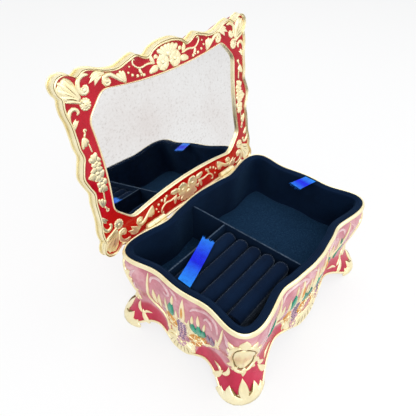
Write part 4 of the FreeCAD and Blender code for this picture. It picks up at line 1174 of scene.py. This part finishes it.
def shield_ring(grow, widths, height):
    """Line round a shield, as a stroke up one side and another down the other."""
    line = shield_line(np.linspace(-0.5 * np.pi, 1.5 * np.pi, 33), grow)
    return curls((height, widths, *line[:17]), (height, widths, *line[16:]))


corner_gilt = shield_ring(1.12, (1.3, 1.6, 1.6, 1.6, 1.3), 1.8)
corner_gilt += leaves(
    (3.4, (-2.7, 63.6), (-2, 68), (-1.5, 72.6)), (2.2, (-7, 61.5), (-9.6, 64), (-12.2, 67)),
    (1.8, (-9, 54.6), (-10.6, 56.2), (-12.6, 58.8)), (1.8, (-10.4, 44), (-12.4, 42.8), (-14.4, 42.5)),
    (2, (-9.4, 35), (-12.6, 31.8), (-15.8, 30.5)), (1.8, (-5, 31), (-8.4, 28.6), (-11.6, 27.4)),
    (3, (3.4, 28.4), (1.6, 25), (0.5, 21)), (1.8, (9.6, 28), (12, 25), (14.2, 22.5)),
    (2, (13.4, 31), (16.4, 27.4), (19.5, 23.8)), (1.7, (12.4, 40), (13.6, 41.4), (15.6, 42.4)),
    (1.7, (7.6, 53), (9, 55), (11, 57.4)), (2.2, (1.6, 62.6), (3.6, 65), (5.8, 67.6)), height=1.4, vein=0.2)
toe_gilt = curls((1.2, (2.6, 4, 4.6, 4, 2.6), (-17, 3), (-8, 4.5), (0, 4.8), (8, 4.5), (17, 3)))
toe_gilt += leaves((3.2, (0, 4), (0, 11), (0, 20)), height=1.6, vein=0.2)
toe_gilt += both_ways(leaves((2.7, (4.4, 4), (7.2, 8), (8.8, 13.4)), height=1.4, vein=0.25)
                      + leaves((2.5, (9.8, 2.6), (12.2, 5.2), (13.8, 9)), height=1.3, vein=0.25)
                      + leaves((2.4, (24.6, 9.6), (20, 13.6), (16.6, 21)), height=1.2, vein=0.2))
# Groove round the shield and lines in the toe in the dark gold: patina, with painted shade.
corner_grooves = shield_ring(0.96, (0.25, 0.36, 0.36, 0.36, 0.25), 1.0)
corner_grooves += both_ways(curls((1.75, (0.15, 0.5, 0.3), (6.8, 12.4), (4.4, 9.2), (1.8, 7.2))))
print("strokes on a corner:", len(corner_gilt) + len(toe_gilt) + len(corner_grooves))

# %% Relief of the whole body
LONG_SIDE, LONG_BOUQUET, BOUQUET_SHIFT = 1.1, 0.8, 21.0
BODY_FINISHES = {"body_relief": (gold, "gold_plate"), "body_grooves": (groove_patina_and_shade, "gold_plate"),
                 "bouquet_leaves": (green, "rose_enamel"), "bouquet_amber_flowers": (amber, "rose_enamel"),
                 "bouquet_berries": (mauve, "rose_enamel"), "bouquet_roses": (rosy, "rose_enamel"),
                 "rose_scrolls": (pale_rose, "rose_enamel")}
long_green = both_ways(leaves((2.4, (-55, 30), (-57, 44), (-53, 60)), height=1.2))
long_gilt = leaves((3.4, (0, 34), (0, 52), (0, 71)), height=1.4, vein=0.2)
long_gilt += both_ways(leaves((1.8, (-51.4, 32), (-52.6, 44), (-49.4, 62))))
body_parts = {name: [] for name in BODY_FINISHES}
for middle, half in SIDES:
    stretch = half / CORNER
    is_long = stretch > LONG_SIDE
    for name, parts in (("body_relief", side_gilt), ("rose_scrolls", side_rose),
                        ("body_grooves", side_grooves)):
        body_parts[name] += moved(parts, middle, stretch)
    for shift, hand in ((-BOUQUET_SHIFT, 1), (BOUQUET_SHIFT, -1)) if is_long else ((0.0, 1),):
        for name, parts in bouquet.items():
            body_parts[name] += moved(flipped(parts, hand, 1), middle + shift,
                                      LONG_BOUQUET if is_long else 1.0)
    if is_long:
        body_parts["bouquet_leaves"] += moved(long_green, middle)
        body_parts["body_relief"] += moved(long_gilt, middle)
for corner, hand in CORNERS:
    body_parts["body_relief"] += moved(flipped(corner_gilt + toe_gilt, hand, 1), corner)
    body_parts["body_grooves"] += moved(flipped(corner_grooves, hand, 1), corner)
for name, (finish, slot) in BODY_FINISHES.items():
    relief(name, body_parts[name], wall_chart, finish, "case", slot)

# %% Corner shields
SHIELD_GROW = 0.93 * np.array([0.001, 1.0, 0.99, 0.96, 0.9, 0.8, 0.65, 0.45, 0.22, 0.001])
SHIELD_LIFT = [SUNK, SUNK, 0.4, 0.7, 0.9, 1.0, 1.1, 1.15, 1.2, 1.2]
turn = np.linspace(-0.5 * np.pi, 1.5 * np.pi, 96, endpoint=False)
shield = np.stack([(shield_line(turn) - SHIELD_MIDDLE) * grow + SHIELD_MIDDLE for grow in SHIELD_GROW])
lift, one = np.repeat(SHIELD_LIFT, len(turn)), grid_quads(*shield.shape[:2], *SKIN)
points, quads = [], []
for corner, hand in CORNERS:
    quads.append(one[:, ::hand] + len(quads) * len(lift))
    points.append(wall_chart((shield * (hand, 1) + (corner, 0)).reshape(-1, 2), lift))
make_piece("corner_shields", np.concatenate(points), np.concatenate(quads), gold, "case", "gold_plate")

# %% Gilt line along the apron
APRON_UP, APRON_HALF, APRON_OUT, APRON_THICK = 1.15, 1.1, 0.3, 0.8
height = edge + APRON_UP + APRON_HALF * np.sin(tube)[:, None]
flat = np.stack(np.broadcast_arrays(around, height), -1)
lift = np.repeat(APRON_OUT + APRON_THICK * np.cos(tube), COLUMNS)
apron_points = wall_chart(flat.reshape(-1, 2), lift).reshape(len(tube), COLUMNS, 3)
make_grid("apron_line", apron_points, TUBE, gold, "case", "gold_plate")

# %% [markdown]
# ## Hinge seats
# Two blocks stand out from the waist of the back wall, and two from the lid, so that the hinge leaves have
# a flat place to be screwed to. They are the same rounded blocks as the pale partition edges, only larger.

# %% Hinge seats
BODY_SEAT, BODY_SEAT_HALF = np.array([46.5, 56.1, 70.4]), (9.4, 1.6, 5.2)
LID_SEAT, LID_SEAT_HALF = np.array([47.0, 63.8, 91.2]), (8.9, 3.0, 4.1)
for sign, side in ((-1, "left"), (1, "right")):
    block = rounded_block(BODY_SEAT * (sign, 1, 1), BODY_SEAT_HALF)
    make_grid(f"hinge_seat_body_{side}", block, SKIN, rose, "case", "rose_enamel")
    block = swing_open(rounded_block(LID_SEAT * (sign, 1, 1), LID_SEAT_HALF))
    make_grid(f"hinge_seat_lid_{side}", block, SKIN, crimson, "lid", "lid_enamel")
